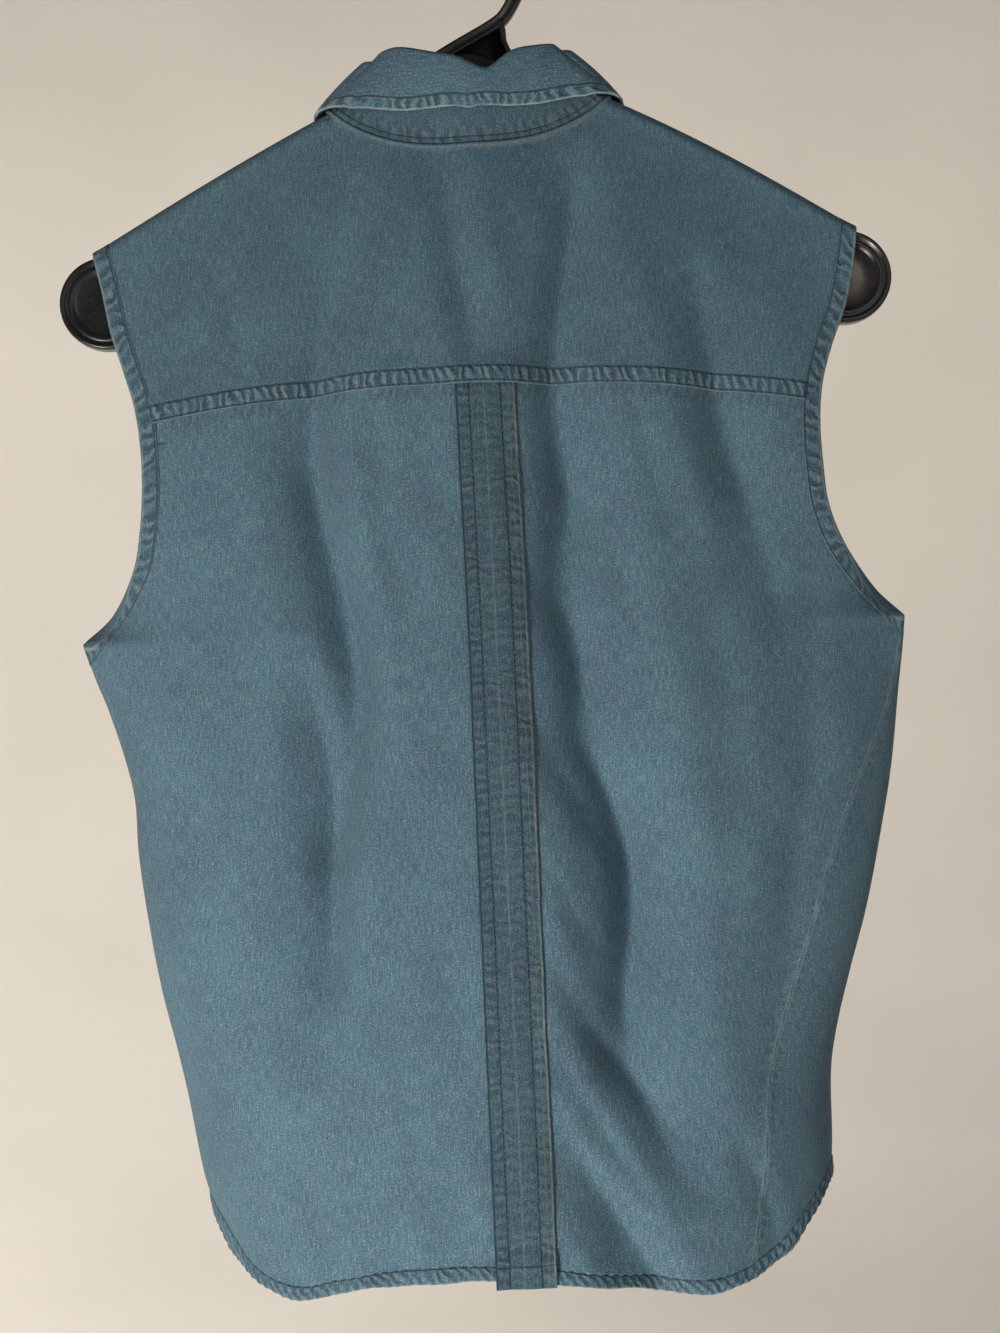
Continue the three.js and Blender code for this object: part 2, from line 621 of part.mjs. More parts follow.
// The stitched box pleat lies on the back panel, a little off the middle as it hangs.
const pleatMiddle = [
  { z: -262, x: 3.5 }, { z: -376, x: 5.5 }, { z: -534, x: 7 }, { z: -735, x: 8.5 },
];
function pleatRows() {
  const middle = reader(pleatMiddle, "z", "x");
  const across = [-1, -0.5, 0, 0.5, 1];
  return steps(34).map((v) =>
    across.map((t) => {
      const topZ = yokeSeamZ(0) - seamGap;
      const z = mix(topZ, hemLift[1](0.05) - 3.5, v);
      const spot = clothAt(1, middle(z) + (t * pleatBand) / 2, z);
      const overHem = 2 * smooth((hemTopZ(1, 0.05) + 10 - z) / 9);
      spot.point = movedOut(spot, clothWall + seamGap + 0.4 + overHem);
      return spot;
    }),
  );
}

function placketRows() {
  const across = [-1, -0.5, 0, 0.5, 1];
  return steps(28).map((v) =>
    across.map((t) => {
      const x = (t * placketBand) / 2;
      const z = mix(neckFrontZ(x) - 1.2, hemLift[-1](0), v);
      const spot = clothAt(-1, x, z);
      spot.point = movedOut(spot, clothWall + seamGap + 0.3);
      return spot;
    }),
  );
}

// The neck seam, turn in degrees from the middle of the back; past 180 an end laps over the other.
function neckSpot(turn) {
  const a = THREE.MathUtils.degToRad(turn);
  const x = neckHalf * Math.sin(a);
  const isBack = Math.cos(a) > 0;
  if (Math.abs(Math.cos(a)) < 1e-6) return clothSpot(x, 0);
  return clothAt(isBack ? 1 : -1, x, isBack ? neckBackZ(x) : neckFrontZ(x));
}

// A point moved away from the cloth until it is at least this far off the cloth's middle
function clearOfCloth(point, least) {
  const face = point.y > 0 ? -1 : 1;
  const ridgeZ = shoulderZ(point.x) - ridgeRadius;
  if (point.z < ridgeZ) {
    const depth = -face * clothAt(face, point.x, point.z).point.y;
    return new THREE.Vector3(point.x, -face * Math.max(-face * point.y, depth + least), point.z);
  }
  const fromRidge = new THREE.Vector3(0, point.y, point.z - ridgeZ);
  const short = ridgeRadius + least * Math.hypot(1, shoulderSlope) - fromRidge.length();
  return short > 0 ? point.clone().addScaledVector(fromRidge.normalize(), short) : point;
}

function collarSection(turn) {
  const a = THREE.MathUtils.degToRad(turn);
  const seam = neckSpot(turn).point;
  const read = (key) => reader(collarShape, "turn", key)(Math.min(Math.abs(turn), leafEnd));
  const tangent = neckSpot(turn + 0.5).point.sub(neckSpot(turn - 0.5).point);
  const towardMiddle = new THREE.Vector3(-Math.sin(a), Math.max(0.15 * Math.cos(a), 0) + Math.min(0.3 * Math.cos(a), 0), 0);
  const upward = towardMiddle.multiplyScalar(read("lean")).add(new THREE.Vector3(0, 0, 1)).normalize();
  const dip = 5 * Math.exp(-(((turn - 7) / 9) ** 2)); // the leaf sinks where it rests on the hanger's neck
  const side = turn < 0 ? -1 : 1;
  const laid = clothSpot(side * read("edgeX"), read("edgePath"));
  const outward = tangent.cross(upward).normalize();
  return { seam, upward, outward, fold: read("fold") - dip, edge: movedOut(laid, read("edgeOff")) };
}

// The stand's two ends lap at the front: the end of the top front lies outside.
function lapInward(turn) {
  const deeper = overlapStep * smooth((turn - 150) / 20);
  return new THREE.Vector3(0, -deeper, 0);
}

function withNormals(grid, outwardAt) {
  return grid.map((row, j) =>
    row.map((point, i) => {
      const acrossStep = row[Math.min(i + 1, row.length - 1)].clone().sub(row[Math.max(i - 1, 0)]);
      const downStep = grid[Math.min(j + 1, grid.length - 1)][i].clone().sub(grid[Math.max(j - 1, 0)][i]);
      const normal = acrossStep.cross(downStep).normalize();
      if (outwardAt && normal.dot(outwardAt(point, j)) < 0) normal.negate();
      return { point, normal };
    }),
  );
}

// Sections round the collar, closer together where it crosses the shoulder line
const collarTurns = [0, 8, 16, 24, 32, 40, 48, 56, 63, 69, 75, 80, 85, 90, 91, 93.7, 97.4, 104, 112, 121, 130, 139,
  148, 157, 166];
const bothWays = (turns) => [...turns.slice(1).toReversed().map((turn) => -turn), ...turns];

const seamLift = 1.4; // the stand starts this far above the neck seam
function standRows() {
  const turns = bothWays([...collarTurns, leafEnd, standEnd]);
  const grid = [0, 0.5, 1].map((v) =>
    turns.map((turn) => {
      const { seam, upward, fold } = collarSection(turn);
      const height = Math.min(standHeight, fold - 5);
      return seam.clone().addScaledVector(upward, mix(seamLift, height, v)).add(lapInward(turn));
    }),
  );
  return withNormals(grid, (point) => new THREE.Vector3(point.x, point.y, 0));
}

const foldRadius = 2.4;
const leafClear = 3; // the leaf lies at least this far over the cloth's middle
function leafRows() {
  const turns = bothWays([0, 8, 16, 24, 34, 44, 54, 64, 74, 83, 91, 100, 112, 124, 136, 148, 161, leafEnd]);
  const sections = turns.map((turn) => {
    const { seam, upward, outward, fold, edge } = collarSection(turn);
    const foot = seam.clone().addScaledVector(upward, Math.min(standHeight, fold - 5) + seamLift).add(lapInward(turn));
    const top = seam.clone().addScaledVector(upward, fold - foldRadius).add(lapInward(turn));
    const turnPoint = (degrees) => {
      const r = THREE.MathUtils.degToRad(degrees);
      return top.clone()
        .addScaledVector(outward, foldRadius * (1 - Math.cos(r)))
        .addScaledVector(upward, foldRadius * Math.sin(r));
    };
    const outer = turnPoint(180);
    const fallPoint = (t) =>
      clearOfCloth(outer.clone().lerp(edge, t).addScaledVector(outward, 4 * t * (1 - t)), leafClear);
    return [foot, top, turnPoint(60), turnPoint(120), outer, fallPoint(0.4), fallPoint(0.75), fallPoint(1)];
  });
  const grid = sections[0].map((_, j) => sections.map((section) => section[j]));
  return withNormals(grid);
}

// A four-hole shirt button with a raised rim, its axis along +Y.
function buttonGeometry() {
  const profile = [
    [0, 0], [buttonRadius - 0.6, 0], [buttonRadius, 0.8], [buttonRadius, 1.6],
    [buttonRadius - 0.8, buttonThick], [buttonRadius - 1.6, 1.8], [0, 1.8],
  ];
  return new THREE.LatheGeometry(profile.map(([r, y]) => new THREE.Vector2(r, y)), 12);
}

// Merges a three.js geometry into one solid that booleans can use.
function solid(geometry) {
  const plain = geometry.clone();
  ["normal", "uv"].forEach((name) => plain.deleteAttribute(name));
  const merged = mergeVertices(plain, 1e-3);
  const triVerts = new Uint32Array(merged.index.array);
  const make = () =>
    new wasm.Manifold(new wasm.Mesh({ numProp: 3, vertProperties: merged.attributes.position.array, triVerts }));
  const first = make();
  if (first.volume() > 0) return first;
  for (let i = 0; i < triVerts.length; i += 3) {
    [triVerts[i + 1], triVerts[i + 2]] = [triVerts[i + 2], triVerts[i + 1]];
  }
  return make();
}

function fromSolid(made) {
  const { vertProperties, triVerts } = made.getMesh();
  const geometry = new THREE.BufferGeometry();
  geometry.setAttribute("position", new THREE.BufferAttribute(vertProperties, 3));
  geometry.setIndex(new THREE.BufferAttribute(triVerts, 1));
  geometry.computeVertexNormals();
  return geometry;
}

// An upright plate from its outline in the x-z plane, rounded all round its edge
function plate(outline, thick, rounding) {
  const flat = 0.8;
  const shape = new THREE.Shape(outline.map(([x, z]) => new THREE.Vector2(x, z)));
  const geometry = new THREE.ExtrudeGeometry(shape, {
    depth: flat, bevelThickness: (thick - flat) / 2, bevelSize: rounding, bevelOffset: -rounding, bevelSegments: 4,
  });
  geometry.translate(0, 0, -flat / 2);
  return geometry.rotateX(Math.PI / 2);
}

// The two sloping arms that the shoulders rest on
function hangerArms() {
  const clearance = (turnedWall / 2 + 2 * seamGap) * Math.hypot(1, shoulderSlope);
  const topZ = (x) => slopeZ(x, armBow) - clearance;
  const top = steps(12).map((t) => mix(0, discX, t));
  const bottom = [discX, 150, 90, 40];
  return plate([
    ...top.toReversed().map((x) => [-x, topZ(x)]),
    ...top.slice(1).map((x) => [x, topZ(x)]),
    ...bottom.map((x) => [x, topZ(x) - armDeep]),
    [0, topZ(0) - armDeep - 4],
    ...bottom.toReversed().map((x) => [-x, topZ(x) - armDeep]),
  ], 2 * armHalf, 5.6);
}

// A round end with a raised rim, an inner ring and a dished middle on both faces.
function hangerDisc(side) {
  const rings = [
    [0, 3.4], [17, 3.9], [19.2, 5.5], [20.6, 5.2], [21.6, 4.8], [23.4, 6.4], [discRadius, 5.2],
  ];
  const profile = [...rings.map(([r, y]) => [r, -y]), ...rings.toReversed()];
  const disc = new THREE.LatheGeometry(profile.map(([r, y]) => new THREE.Vector2(r, y)), 30);
  disc.translate(side * discX, 0, discZ);
  return disc;
}

// A rounded bar along a line in the x-z plane
function barAlong(line, wide, deep, tipShare = 1) {
  const rings = line.map((point, k) => {
    const along = line[Math.min(k + 1, line.length - 1)].clone().sub(line[Math.max(k - 1, 0)]).normalize();
    const aside = new THREE.Vector3(along.z, 0, -along.x);
    const share = k === line.length - 1 ? tipShare : 1;
    return steps(8).slice(0, -1).map((t) => {
      const a = 2 * Math.PI * (t + 1 / 16);
      const out = new THREE.Vector3(0, (Math.sin(a) * share * deep) / 2, 0);
      return out.add(point).addScaledVector(aside, (Math.cos(a) * share * wide) / 2);
    });
  });
  return bar(rings);
}

const inPlane = ([x, z]) => new THREE.Vector3(x, 0, z);
// The hook's bar runs up from the left arm, bends round over the rod's place and stops in a blunt tip.
const hookFoot = [[-48, -93], [-30, -81.5], [-12, -70.6], [2, -63], [13, -57], [21, -51.2]];
const hookArc = { start: -27, end: 196 };
function hangerHook() {
  const arc = steps(24).map((t) => {
    const a = THREE.MathUtils.degToRad(mix(hookArc.start, hookArc.end, t));
    return [hookRadius * Math.cos(a), hookBar / 2 - hookRadius + hookRadius * Math.sin(a)];
  });
  return barAlong([...hookFoot, ...arc].map(inPlane), hookBar, hookDeep, 0.6);
}

// The web under the hook's foot, and the flange down its right edge
const gussetWeb = [[20, -52], [20.5, -66], [24, -74], [30, -87], [-26, -87], [-10, -69.5]];
const gussetFlange = [[18.5, -53], [20.2, -59], [20.6, -65], [24, -73], [32, -88]];

const denim = new THREE.MeshStandardMaterial({ color: 0x5f8090, roughness: 0.92, metalness: 0 });
const wornDenim = new THREE.MeshStandardMaterial({ color: 0x6d8c9b, roughness: 0.92, metalness: 0 });
const shell = new THREE.MeshStandardMaterial({ color: 0xd9d4c6, roughness: 0.35, metalness: 0 });
const blackPlastic = new THREE.MeshStandardMaterial({ color: 0x141416, roughness: 0.3, metalness: 0 });

const vest = new THREE.Group();
function add(name, geometry, material) {
  const mesh = new THREE.Mesh(geometry, material);
  mesh.name = name;
  vest.add(mesh);
  return mesh;
}

const half = clothWall / 2;
const [backRows, leftRows, rightRows] = [backPanel(), frontPanel(-1), frontPanel(1)];
add("yoke", wall(yokePanel(), half, half), denim);
add("back_panel", wall(backRows, half, half), denim);
add("front_left", wall(leftRows, half, half), denim);
add("front_right", wall(rightRows, half, half), denim);
add("back_pleat", wall(pleatRows(), half, half), wornDenim);
add("placket", wall(placketRows(), half, half), wornDenim);
add("collar_stand", wall(standRows(), half, half), denim);
add("collar_leaf", wall(leafRows(), half, half), denim);
add("armhole_band_left", wall(armholeEdgeRows(-1), turnedWall / 2, turnedWall / 2), wornDenim);
add("armhole_band_right", wall(armholeEdgeRows(1), turnedWall / 2, turnedWall / 2), wornDenim);
add("hem_back", bar(hemRoll(1, backRows.at(-1))), wornDenim);
add("hem_front_left", bar(hemRoll(-1, leftRows.at(-1).slice(2))), wornDenim);
add("hem_front_right", bar(hemRoll(-1, rightRows.at(-1).slice(2))), wornDenim);

// Buttons sit on the placket, and the top one on the stand's lapped end.
const seat = clothWall + seamGap + 0.3 + half + seamGap;
for (let k = 0; k < buttonCount; k++) {
  const spot = clothAt(-1, 0, firstButton - k * buttonPitch);
  const button = add(`button_${k + 1}`, buttonGeometry(), shell);
  button.position.copy(movedOut(spot, seat));
  button.quaternion.setFromUnitVectors(new THREE.Vector3(0, 1, 0), spot.normal);
}
const collarSpot = collarSection(-180);
const collarButton = add("collar_button", buttonGeometry(), shell);
collarButton.position.copy(collarSpot.seam).addScaledVector(collarSpot.upward, standHeight / 2);
collarButton.position.y += half + seamGap + 0.7;
collarButton.quaternion.setFromUnitVectors(new THREE.Vector3(0, 1, 0), new THREE.Vector3(0, 0.97, 0.22).normalize());

const hanger = [
  hangerArms(), hangerDisc(-1), hangerDisc(1), hangerHook(), plate(gussetWeb, 3.4, 0.8),
  barAlong(gussetFlange.map(inPlane), 3.6, hookDeep),
].map(solid).reduce((joined, piece) => joined.add(piece));
add("hanger", fromSolid(hanger), blackPlastic);

export default vest;
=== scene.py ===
import math
import bmesh
import bpy
import numpy as np
from mathutils import Matrix, Vector


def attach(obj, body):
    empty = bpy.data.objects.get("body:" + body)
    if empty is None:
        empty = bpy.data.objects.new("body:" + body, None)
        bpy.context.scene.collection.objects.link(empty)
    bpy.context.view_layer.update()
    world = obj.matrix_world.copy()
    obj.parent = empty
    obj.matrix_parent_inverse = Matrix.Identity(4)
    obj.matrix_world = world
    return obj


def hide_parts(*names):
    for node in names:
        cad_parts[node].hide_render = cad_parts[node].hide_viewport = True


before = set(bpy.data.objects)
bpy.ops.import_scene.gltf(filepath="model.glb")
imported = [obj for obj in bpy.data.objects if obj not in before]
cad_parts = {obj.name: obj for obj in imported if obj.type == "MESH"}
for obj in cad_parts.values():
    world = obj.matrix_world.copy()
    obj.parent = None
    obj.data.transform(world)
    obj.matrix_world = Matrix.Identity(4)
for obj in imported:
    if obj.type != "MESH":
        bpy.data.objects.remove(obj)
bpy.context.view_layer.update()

mm = 0.001
print("frame loaded")

# The cut and the hang of the garment in millimetres. Its back faces -Y and its buttoned front +Y.
garment = {
    "shoulderTop": -62.8, "shoulderSlope": 0.528, "shoulderRound": 10.0,
    "bowLeft": 3.0, "bowRight": 6.0,  # the shoulder line rises this much in its middle
    "ridge": 8.0, "settle": 60.0, "seamGap": 0.04,
    "armpit": -391.5, "bandEnd": -402.5,
    "yokeSeam": -259.5, "yokeDrop": 13.0, "frontYoke": 35.0,
    "neckHalf": 78.0, "neckBackDrop": 25.5, "neckFrontDrop": 64.0,
    "armholeBand": 10.0, "armholeScoop": 5.0, "hemBand": 8.0, "hemHalf": 165,
    "tuck": 1.5, "hemTuck": 2.6,  # the panels reach this far in under the armhole edges and the hem
    "settleTurns": 40,  # rounds that settle a point whose height and width lean on each other
    "lapDepth": 2.4,  # the under front lies this much deeper at the buttons
}

# Half widths from the middle plane: z, left, right
armholeEdge = [
    (-174.3, 211, 211.8), (-197, 206, 208.5), (-220, 201.5, 203), (-241, 195, 194.5), (-263, 188.5, 187.5),
    (-285, 185.5, 185), (-308, 185, 185.5), (-330, 187, 188), (-352, 192, 197), (-374.5, 205, 213),
    (-391.5, 223, 229.5),
]
sideEdge = [
    (-391.5, 223, 229.5), (-408, 218.5, 228.5), (-430, 211, 226), (-474, 199, 220.5), (-508, 198, 214),
    (-552, 193, 204), (-585, 187.5, 194), (-619, 180, 184.5), (-641, 175.5, 180.5), (-685, 168, 180),
    (-708, 161, 177), (-735, 155, 173),
]

# Half widths that the hang follows away from the edges, smooth past the armpit: z, left, right
innerEdge = [
    (-60, 212, 212), (-174, 210, 211), (-230, 201, 202), (-290, 198, 199), (-345, 203, 206), (-395, 212, 219),
    (-440, 208, 222), (-508, 198, 214), (-552, 193, 204), (-619, 180, 186), (-685, 168, 180), (-755, 155, 173),
]

# Depth as it hangs: z, back middle, back side, front middle, front side, fullness
hang = [
    (-60, 26, 8, 22, 8, 0.9), (-122, 30, 8, 25, 8, 0.9), (-180, 35, 9, 30, 9, 0.9),
    (-230, 38, 14, 33, 13, 0.85), (-272, 42, 19, 37, 17, 0.83), (-320, 46, 20, 40, 18, 0.8),
    (-355, 49.4, 14, 42.6, 13, 0.78), (-378, 52, 4.5, 44.6, 4, 0.76), (-391.5, 53.6, 0.8, 46, 0.8, 0.74),
    (-402, 54.8, 0, 47, 0, 0.72), (-450, 60, 0, 51, 0, 0.66), (-520, 66, 0, 56, 0, 0.6),
    (-620, 73, 0, 62, 0, 0.56), (-755, 80, 0, 68, 0, 0.53),
]

# Folds are valleys: how far the left and right flanks reach, then the line as z, x, depth
backFolds = [
    (38, 20, [(-122, -64, 0), (-150, -69, 5), (-175, -74, 9), (-214, -81, 12), (-245, -88, 13), (-285, -91, 14),
              (-333, -86, 15), (-372, -76, 16), (-410, -73, 16), (-450, -73, 14), (-485, -77, 9), (-520, -84, 0)]),
    (48, 18, [(-390, -104, 0), (-435, -93, 8), (-475, -87, 13), (-510, -86, 17), (-555, -88, 14),
              (-590, -93, 8), (-630, -98, 0)]),
    (14, 12, [(-262, -94, 0), (-285, -93, 3), (-310, -92, 4), (-340, -86, 2.5), (-372, -78, 3), (-405, -72, 4.5),
              (-440, -72, 4.5), (-465, -76, 2.5), (-490, -84, 3.5), (-525, -88, 4.5), (-565, -90, 3), (-595, -95, 0)]),
    (38, 44, [(-116, 62, 0), (-150, 57, 10), (-185, 52, 13), (-220, 46, 13), (-252, 43, 13), (-286, 44, 15),
              (-322, 49, 17), (-358, 47, 17), (-411, 51, 17), (-456, 56, 19), (-490, 64, 22),
              (-525, 71, 24), (-556, 70, 24), (-588, 66, 21), (-620, 66, 16), (-660, 82, 11), (-705, 106, 0)]),
    (14, 14, [(-122, 60, 0), (-150, 56, 4), (-185, 51, 5), (-220, 45, 5), (-262, 39, 3.5), (-286, 39, 3.5),
              (-306, 43, 4), (-322, 45, 4.5), (-345, 40, 4.5), (-372, 38, 4),
              (-398, 45, 4.5), (-424, 49, 5), (-450, 46, 4), (-470, 55, 3.5), (-494, 66, 4.5), (-525, 72, 5.5),
              (-560, 71, 5), (-592, 66, 3.5), (-625, 66, 0)]),
    (28, 24, [(-630, 24, 0), (-668, 38, 7), (-702, 58, 11), (-742, 79, 12)]),
    (26, 36, [(-150, 112, 0), (-185, 116, 4), (-213, 122, 7), (-250, 127, 10), (-286, 133, 11), (-310, 138, 10),
              (-335, 145, 7), (-365, 154, 4), (-405, 162, 0)]),
    (16, 18, [(-118, -20, 0), (-150, -14, 4), (-185, -10, 5.5), (-225, -4, 4), (-262, -2, 0)]),
    (24, 26, [(-395, 176, 0), (-450, 172, 4), (-520, 162, 5), (-590, 150, 3.5), (-650, 146, 0)]),
]
frontFolds = [
    (30, 34, [(-150, 84, 0), (-210, 88, 5), (-280, 92, 8), (-350, 84, 8), (-430, 76, 7), (-520, 82, 4),
              (-580, 90, 0)]),
    (34, 30, [(-150, -82, 0), (-220, -90, 5), (-300, -86, 8), (-380, -74, 9), (-470, -70, 8),
              (-560, -84, 6), (-650, -96, 0)]),
    (32, 26, [(-370, 128, 0), (-440, 124, 6), (-530, 116, 8), (-620, 112, 6), (-700, 120, 0)]),
    (28, 30, [(-430, -140, 0), (-520, -134, 6), (-620, -128, 6), (-710, -124, 2), (-745, -124, 0)]),
]
# Creases are smaller and sharper folds
backCreases = [
    (13, 12, [(-425, 22, 0), (-445, 27, 1.6), (-470, 37, 2.4), (-496, 50, 2), (-520, 62, 0)]),
    (11, 10, [(-505, 24, 0), (-522, 30, 1), (-548, 42, 1.5), (-570, 56, 0)]),
    (14, 12, [(-548, 22, 0), (-580, 34, 2), (-614, 54, 3.4), (-645, 78, 2.6), (-672, 98, 0)]),
    (12, 10, [(-600, 20, 0), (-632, 36, 2), (-668, 58, 3), (-705, 82, 0)]),
    (10, 12, [(-300, 72, 0), (-335, 68, 1.2), (-372, 74, 1.4), (-415, 86, 0)]),
    (9, 12, [(-255, -58, 0), (-285, -56, 1.2), (-330, -52, 1), (-370, -48, 0)]),
    (14, 14, [(-300, 174, 0), (-335, 156, 1.8), (-365, 136, 1.4), (-395, 118, 0)]),
    (14, 14, [(-372, -192, 0), (-400, -168, 1.4), (-430, -150, 1), (-455, -136, 0)]),
    (14, 14, [(-600, -12, 0), (-640, -34, 1.6), (-675, -52, 2.2), (-705, -62, 2), (-735, -68, 1)]),
    (11, 11, [(-640, -126, 0), (-680, -108, 1.6), (-712, -96, 2), (-738, -88, 1.4)]),
    (12, 11, [(-655, 120, 0), (-685, 132, 2.4), (-712, 140, 3), (-738, 142, 2)]),
    (12, 12, [(-170, -150, 0), (-195, -140, 1.6), (-225, -132, 2), (-262, -128, 1.6), (-300, -128, 0)]),
    (9, 7, [(-440, -192, 0), (-480, -187, 1.6), (-540, -180, 2.2), (-620, -167, 2.2), (-700, -150, 0)]),
    (10, 10, [(-240, 78, 0), (-275, 84, 1.6), (-310, 92, 1.4), (-350, 98, 0)]),
]
frontCreases = [
    (10, 12, [(-300, 40, 0), (-340, 48, 2), (-390, 52, 2), (-430, 48, 0)]),
    (12, 10, [(-330, -44, 0), (-380, -50, 2.2), (-430, -48, 2), (-480, -40, 0)]),
    (10, 12, [(-560, 40, 0), (-610, 52, 2), (-660, 60, 2), (-715, 62, 1)]),
    (9, 10, [(-360, 176, 0), (-390, 152, 2), (-420, 132, 1.4), (-450, 118, 0)]),
    (9, 10, [(-360, -180, 0), (-392, -156, 2), (-425, -136, 1.4), (-455, -122, 0)]),
]
# Slow waves between the folds: length across, length down, slant, height, shift
ripples = [
    (41, 210, 0.10, 0.5, 0.3), (27, 150, -0.16, 0.22, 1.9), (67, 95, 0.35, 0.5, 4.1), (19, 120, 0.05, 0.07, 2.6),
    (33, 60, -0.42, 0.16, 5.2), (21, 38, 0.6, 0.07, 3.3),
]

# The lower edges: share of the way across, z
backHem = [
    (-1, -706), (-0.955, -720), (-0.9, -732), (-0.84, -738), (-0.76, -741), (-0.68, -740.5), (-0.58, -736.5),
    (-0.45, -732), (-0.28, -728.5), (0, -728), (0.14, -731), (0.34, -738), (0.5, -742), (0.62, -743),
    (0.71, -740.5), (0.78, -735.5), (0.85, -728.5), (0.92, -716), (0.97, -705.5), (1, -698),
]
frontHem = [
    (-1, -706), (-0.95, -722), (-0.85, -734), (-0.65, -741), (-0.4, -740), (-0.15, -735), (0, -733),
    (0.15, -735), (0.4, -740), (0.65, -742), (0.84, -735), (0.95, -719), (1, -698),
]


def reader(rows, key, value):  # a smooth curve through two columns of a table
    rows = sorted(rows, key=lambda row: row[key])
    p = np.array([row[key] for row in rows], float)
    v = np.array([row[value] for row in rows], float)
    rise = np.empty(len(p))
    rise[1:-1] = (v[2:] - v[:-2]) / (p[2:] - p[:-2])
    rise[0], rise[-1] = (v[1] - v[0]) / (p[1] - p[0]), (v[-1] - v[-2]) / (p[-1] - p[-2])

    def read(at):
        at = np.clip(at, p[0], p[-1])
        i = np.clip(np.searchsorted(p, at) - 1, 0, len(p) - 2)
        span = p[i + 1] - p[i]
        t = (at - p[i]) / span
        pull = t * (1 - t) ** 2 * span * rise[i] + t * t * (t - 1) * span * rise[i + 1]
        return v[i] + t * t * (3 - 2 * t) * (v[i + 1] - v[i]) + pull

    return read


def mix(a, b, t):
    return a + (b - a) * t


def smooth(t):
    t = np.clip(t, 0, 1)
    return t * t * (3 - 2 * t)


def spaced(*spans):  # places along a side, from (start, end, step) spans
    parts = [np.linspace(a, b, max(2, round(abs(b - a) / step) + 1))[:-1] for a, b, step in spans]
    return np.concatenate([*parts, [spans[-1][1]]])


armRead = {-1: reader(armholeEdge, 0, 1), 1: reader(armholeEdge, 0, 2)}
sideRead = {-1: reader(sideEdge, 0, 1), 1: reader(sideEdge, 0, 2)}
innerRead = {-1: reader(innerEdge, 0, 1), 1: reader(innerEdge, 0, 2)}
depthRead = [reader(hang, 0, column) for column in range(1, 6)]
hemRead = {1: reader(backHem, 0, 1), -1: reader(frontHem, 0, 1)}
foldRead = {face: [] for face in (1, -1)}
for face, folds, crease, power in ((1, backFolds, 4.0, 1.6), (1, backCreases, 2.2, 1.5),
                                   (-1, frontFolds, 4.0, 1.6), (-1, frontCreases, 2.2, 1.5)):
    for left, right, line in folds:
        foldRead[face].append((left, right, reader(line, 0, 1), reader(line, 0, 2), crease, power))


def halfWidth(z, side):
    left = np.where(z > garment["armpit"], armRead[-1](z), sideRead[-1](z))
    right = np.where(z > garment["armpit"], armRead[1](z), sideRead[1](z))
    return np.where(side < 0, left, right)


def shoulderZ(x):
    along = np.clip((np.abs(x) - 20) / 185, 0, 1)
    bow = np.where(x < 0, garment["bowLeft"], garment["bowRight"])
    line = garment["shoulderTop"] - garment["shoulderSlope"] * np.hypot(x, garment["shoulderRound"])
    return line + bow * np.sin(np.pi * along)


def yokeSeamZ(across):
    return garment["yokeSeam"] - garment["yokeDrop"] * np.abs(across) ** 2.2


def foldDepth(face, x, z):
    total = 0
    for left, right, foldX, depth, crease, power in foldRead[face]:
        off = x - foldX(z)
        reach = (np.hypot(off, crease) - crease) / np.where(off < 0, left, right)
        total = total + np.clip(depth(z), 0, None) * np.clip(1 - reach, 0, 1) ** power
    return total


def rippleDepth(face, x, z):
    total = 0
    for across, down, slant, height, shift in ripples:
        wave = np.sin(2 * np.pi * (x + slant * z) / across + shift + face)
        total = total + height * wave * np.sin(2 * np.pi * z / down + 1.7 * shift + x / 90)
    return total


def hangDepth(face, x, z):
    inner = np.where(x < 0, innerRead[-1](z), innerRead[1](z))
    share = inner / halfWidth(z, np.sign(x))
    across = np.clip(np.abs(x) / inner, 0, 1.2)
    across = np.clip(across * (1 + (share - 1) * (across / share) ** 5), 0, 1)
    backMiddle, backSide, frontMiddle, frontSide, fullness = [read(z) for read in depthRead]
    middle, edge = (backMiddle, backSide) if face > 0 else (frontMiddle, frontSide)
    bulge = (1 - across**2.2) ** fullness
    small = foldDepth(face, x, z) + rippleDepth(face, x, z)
    return np.clip(edge, 0, None) * across**4 + middle * bulge - small * (1 - across**6)


ridge = garment["ridge"]
quarterTurn = ridge * np.pi / 2


def dropOf(path):
    path = np.abs(path)
    return np.where(path < quarterTurn, ridge * (1 - np.cos(path / ridge)), ridge + path - quarterTurn)


def pathOf(drop):
    turn = ridge * np.arccos(np.clip(1 - drop / ridge, -1, 1))
    return np.where(drop < ridge, turn, quarterTurn + drop - ridge)


def clothPoint(x, path):  # path runs down from the shoulder line, positive down the back
    drop = dropOf(path)
    z = shoulderZ(x) - drop
    over = ridge * np.sin(np.clip(np.abs(path) / ridge, 0, np.pi / 2))
    settled = 1 - np.exp(-((np.clip(drop - ridge, 0, None) / garment["settle"]) ** 1.5))
    back = over + (hangDepth(1, x, z) - ridge) * settled + garment["seamGap"] / 2
    front = over + (hangDepth(-1, x, z) - ridge) * settled + garment["seamGap"] / 2
    return np.stack(np.broadcast_arrays(x, np.where(path < 0, front, -back), z), -1)


def clothNormal(x, path):
    step = 0.4
    across = clothPoint(x + step, path) - clothPoint(x - step, path)
    down = clothPoint(x, path + step) - clothPoint(x, path - step)
    normal = np.cross(down, across)
    return normal / np.linalg.norm(normal, axis=-1, keepdims=True)


def clothSpot(x, path, out=0.0):  # a point of the cloth, moved out from its middle
    x, path, out = np.broadcast_arrays(x, path, out)
    return clothPoint(x, path) + clothNormal(x, path) * out[..., None]


def faceSpot(face, x, z, out=0.0):
    return clothSpot(x, face * pathOf(shoulderZ(x) - z), out)


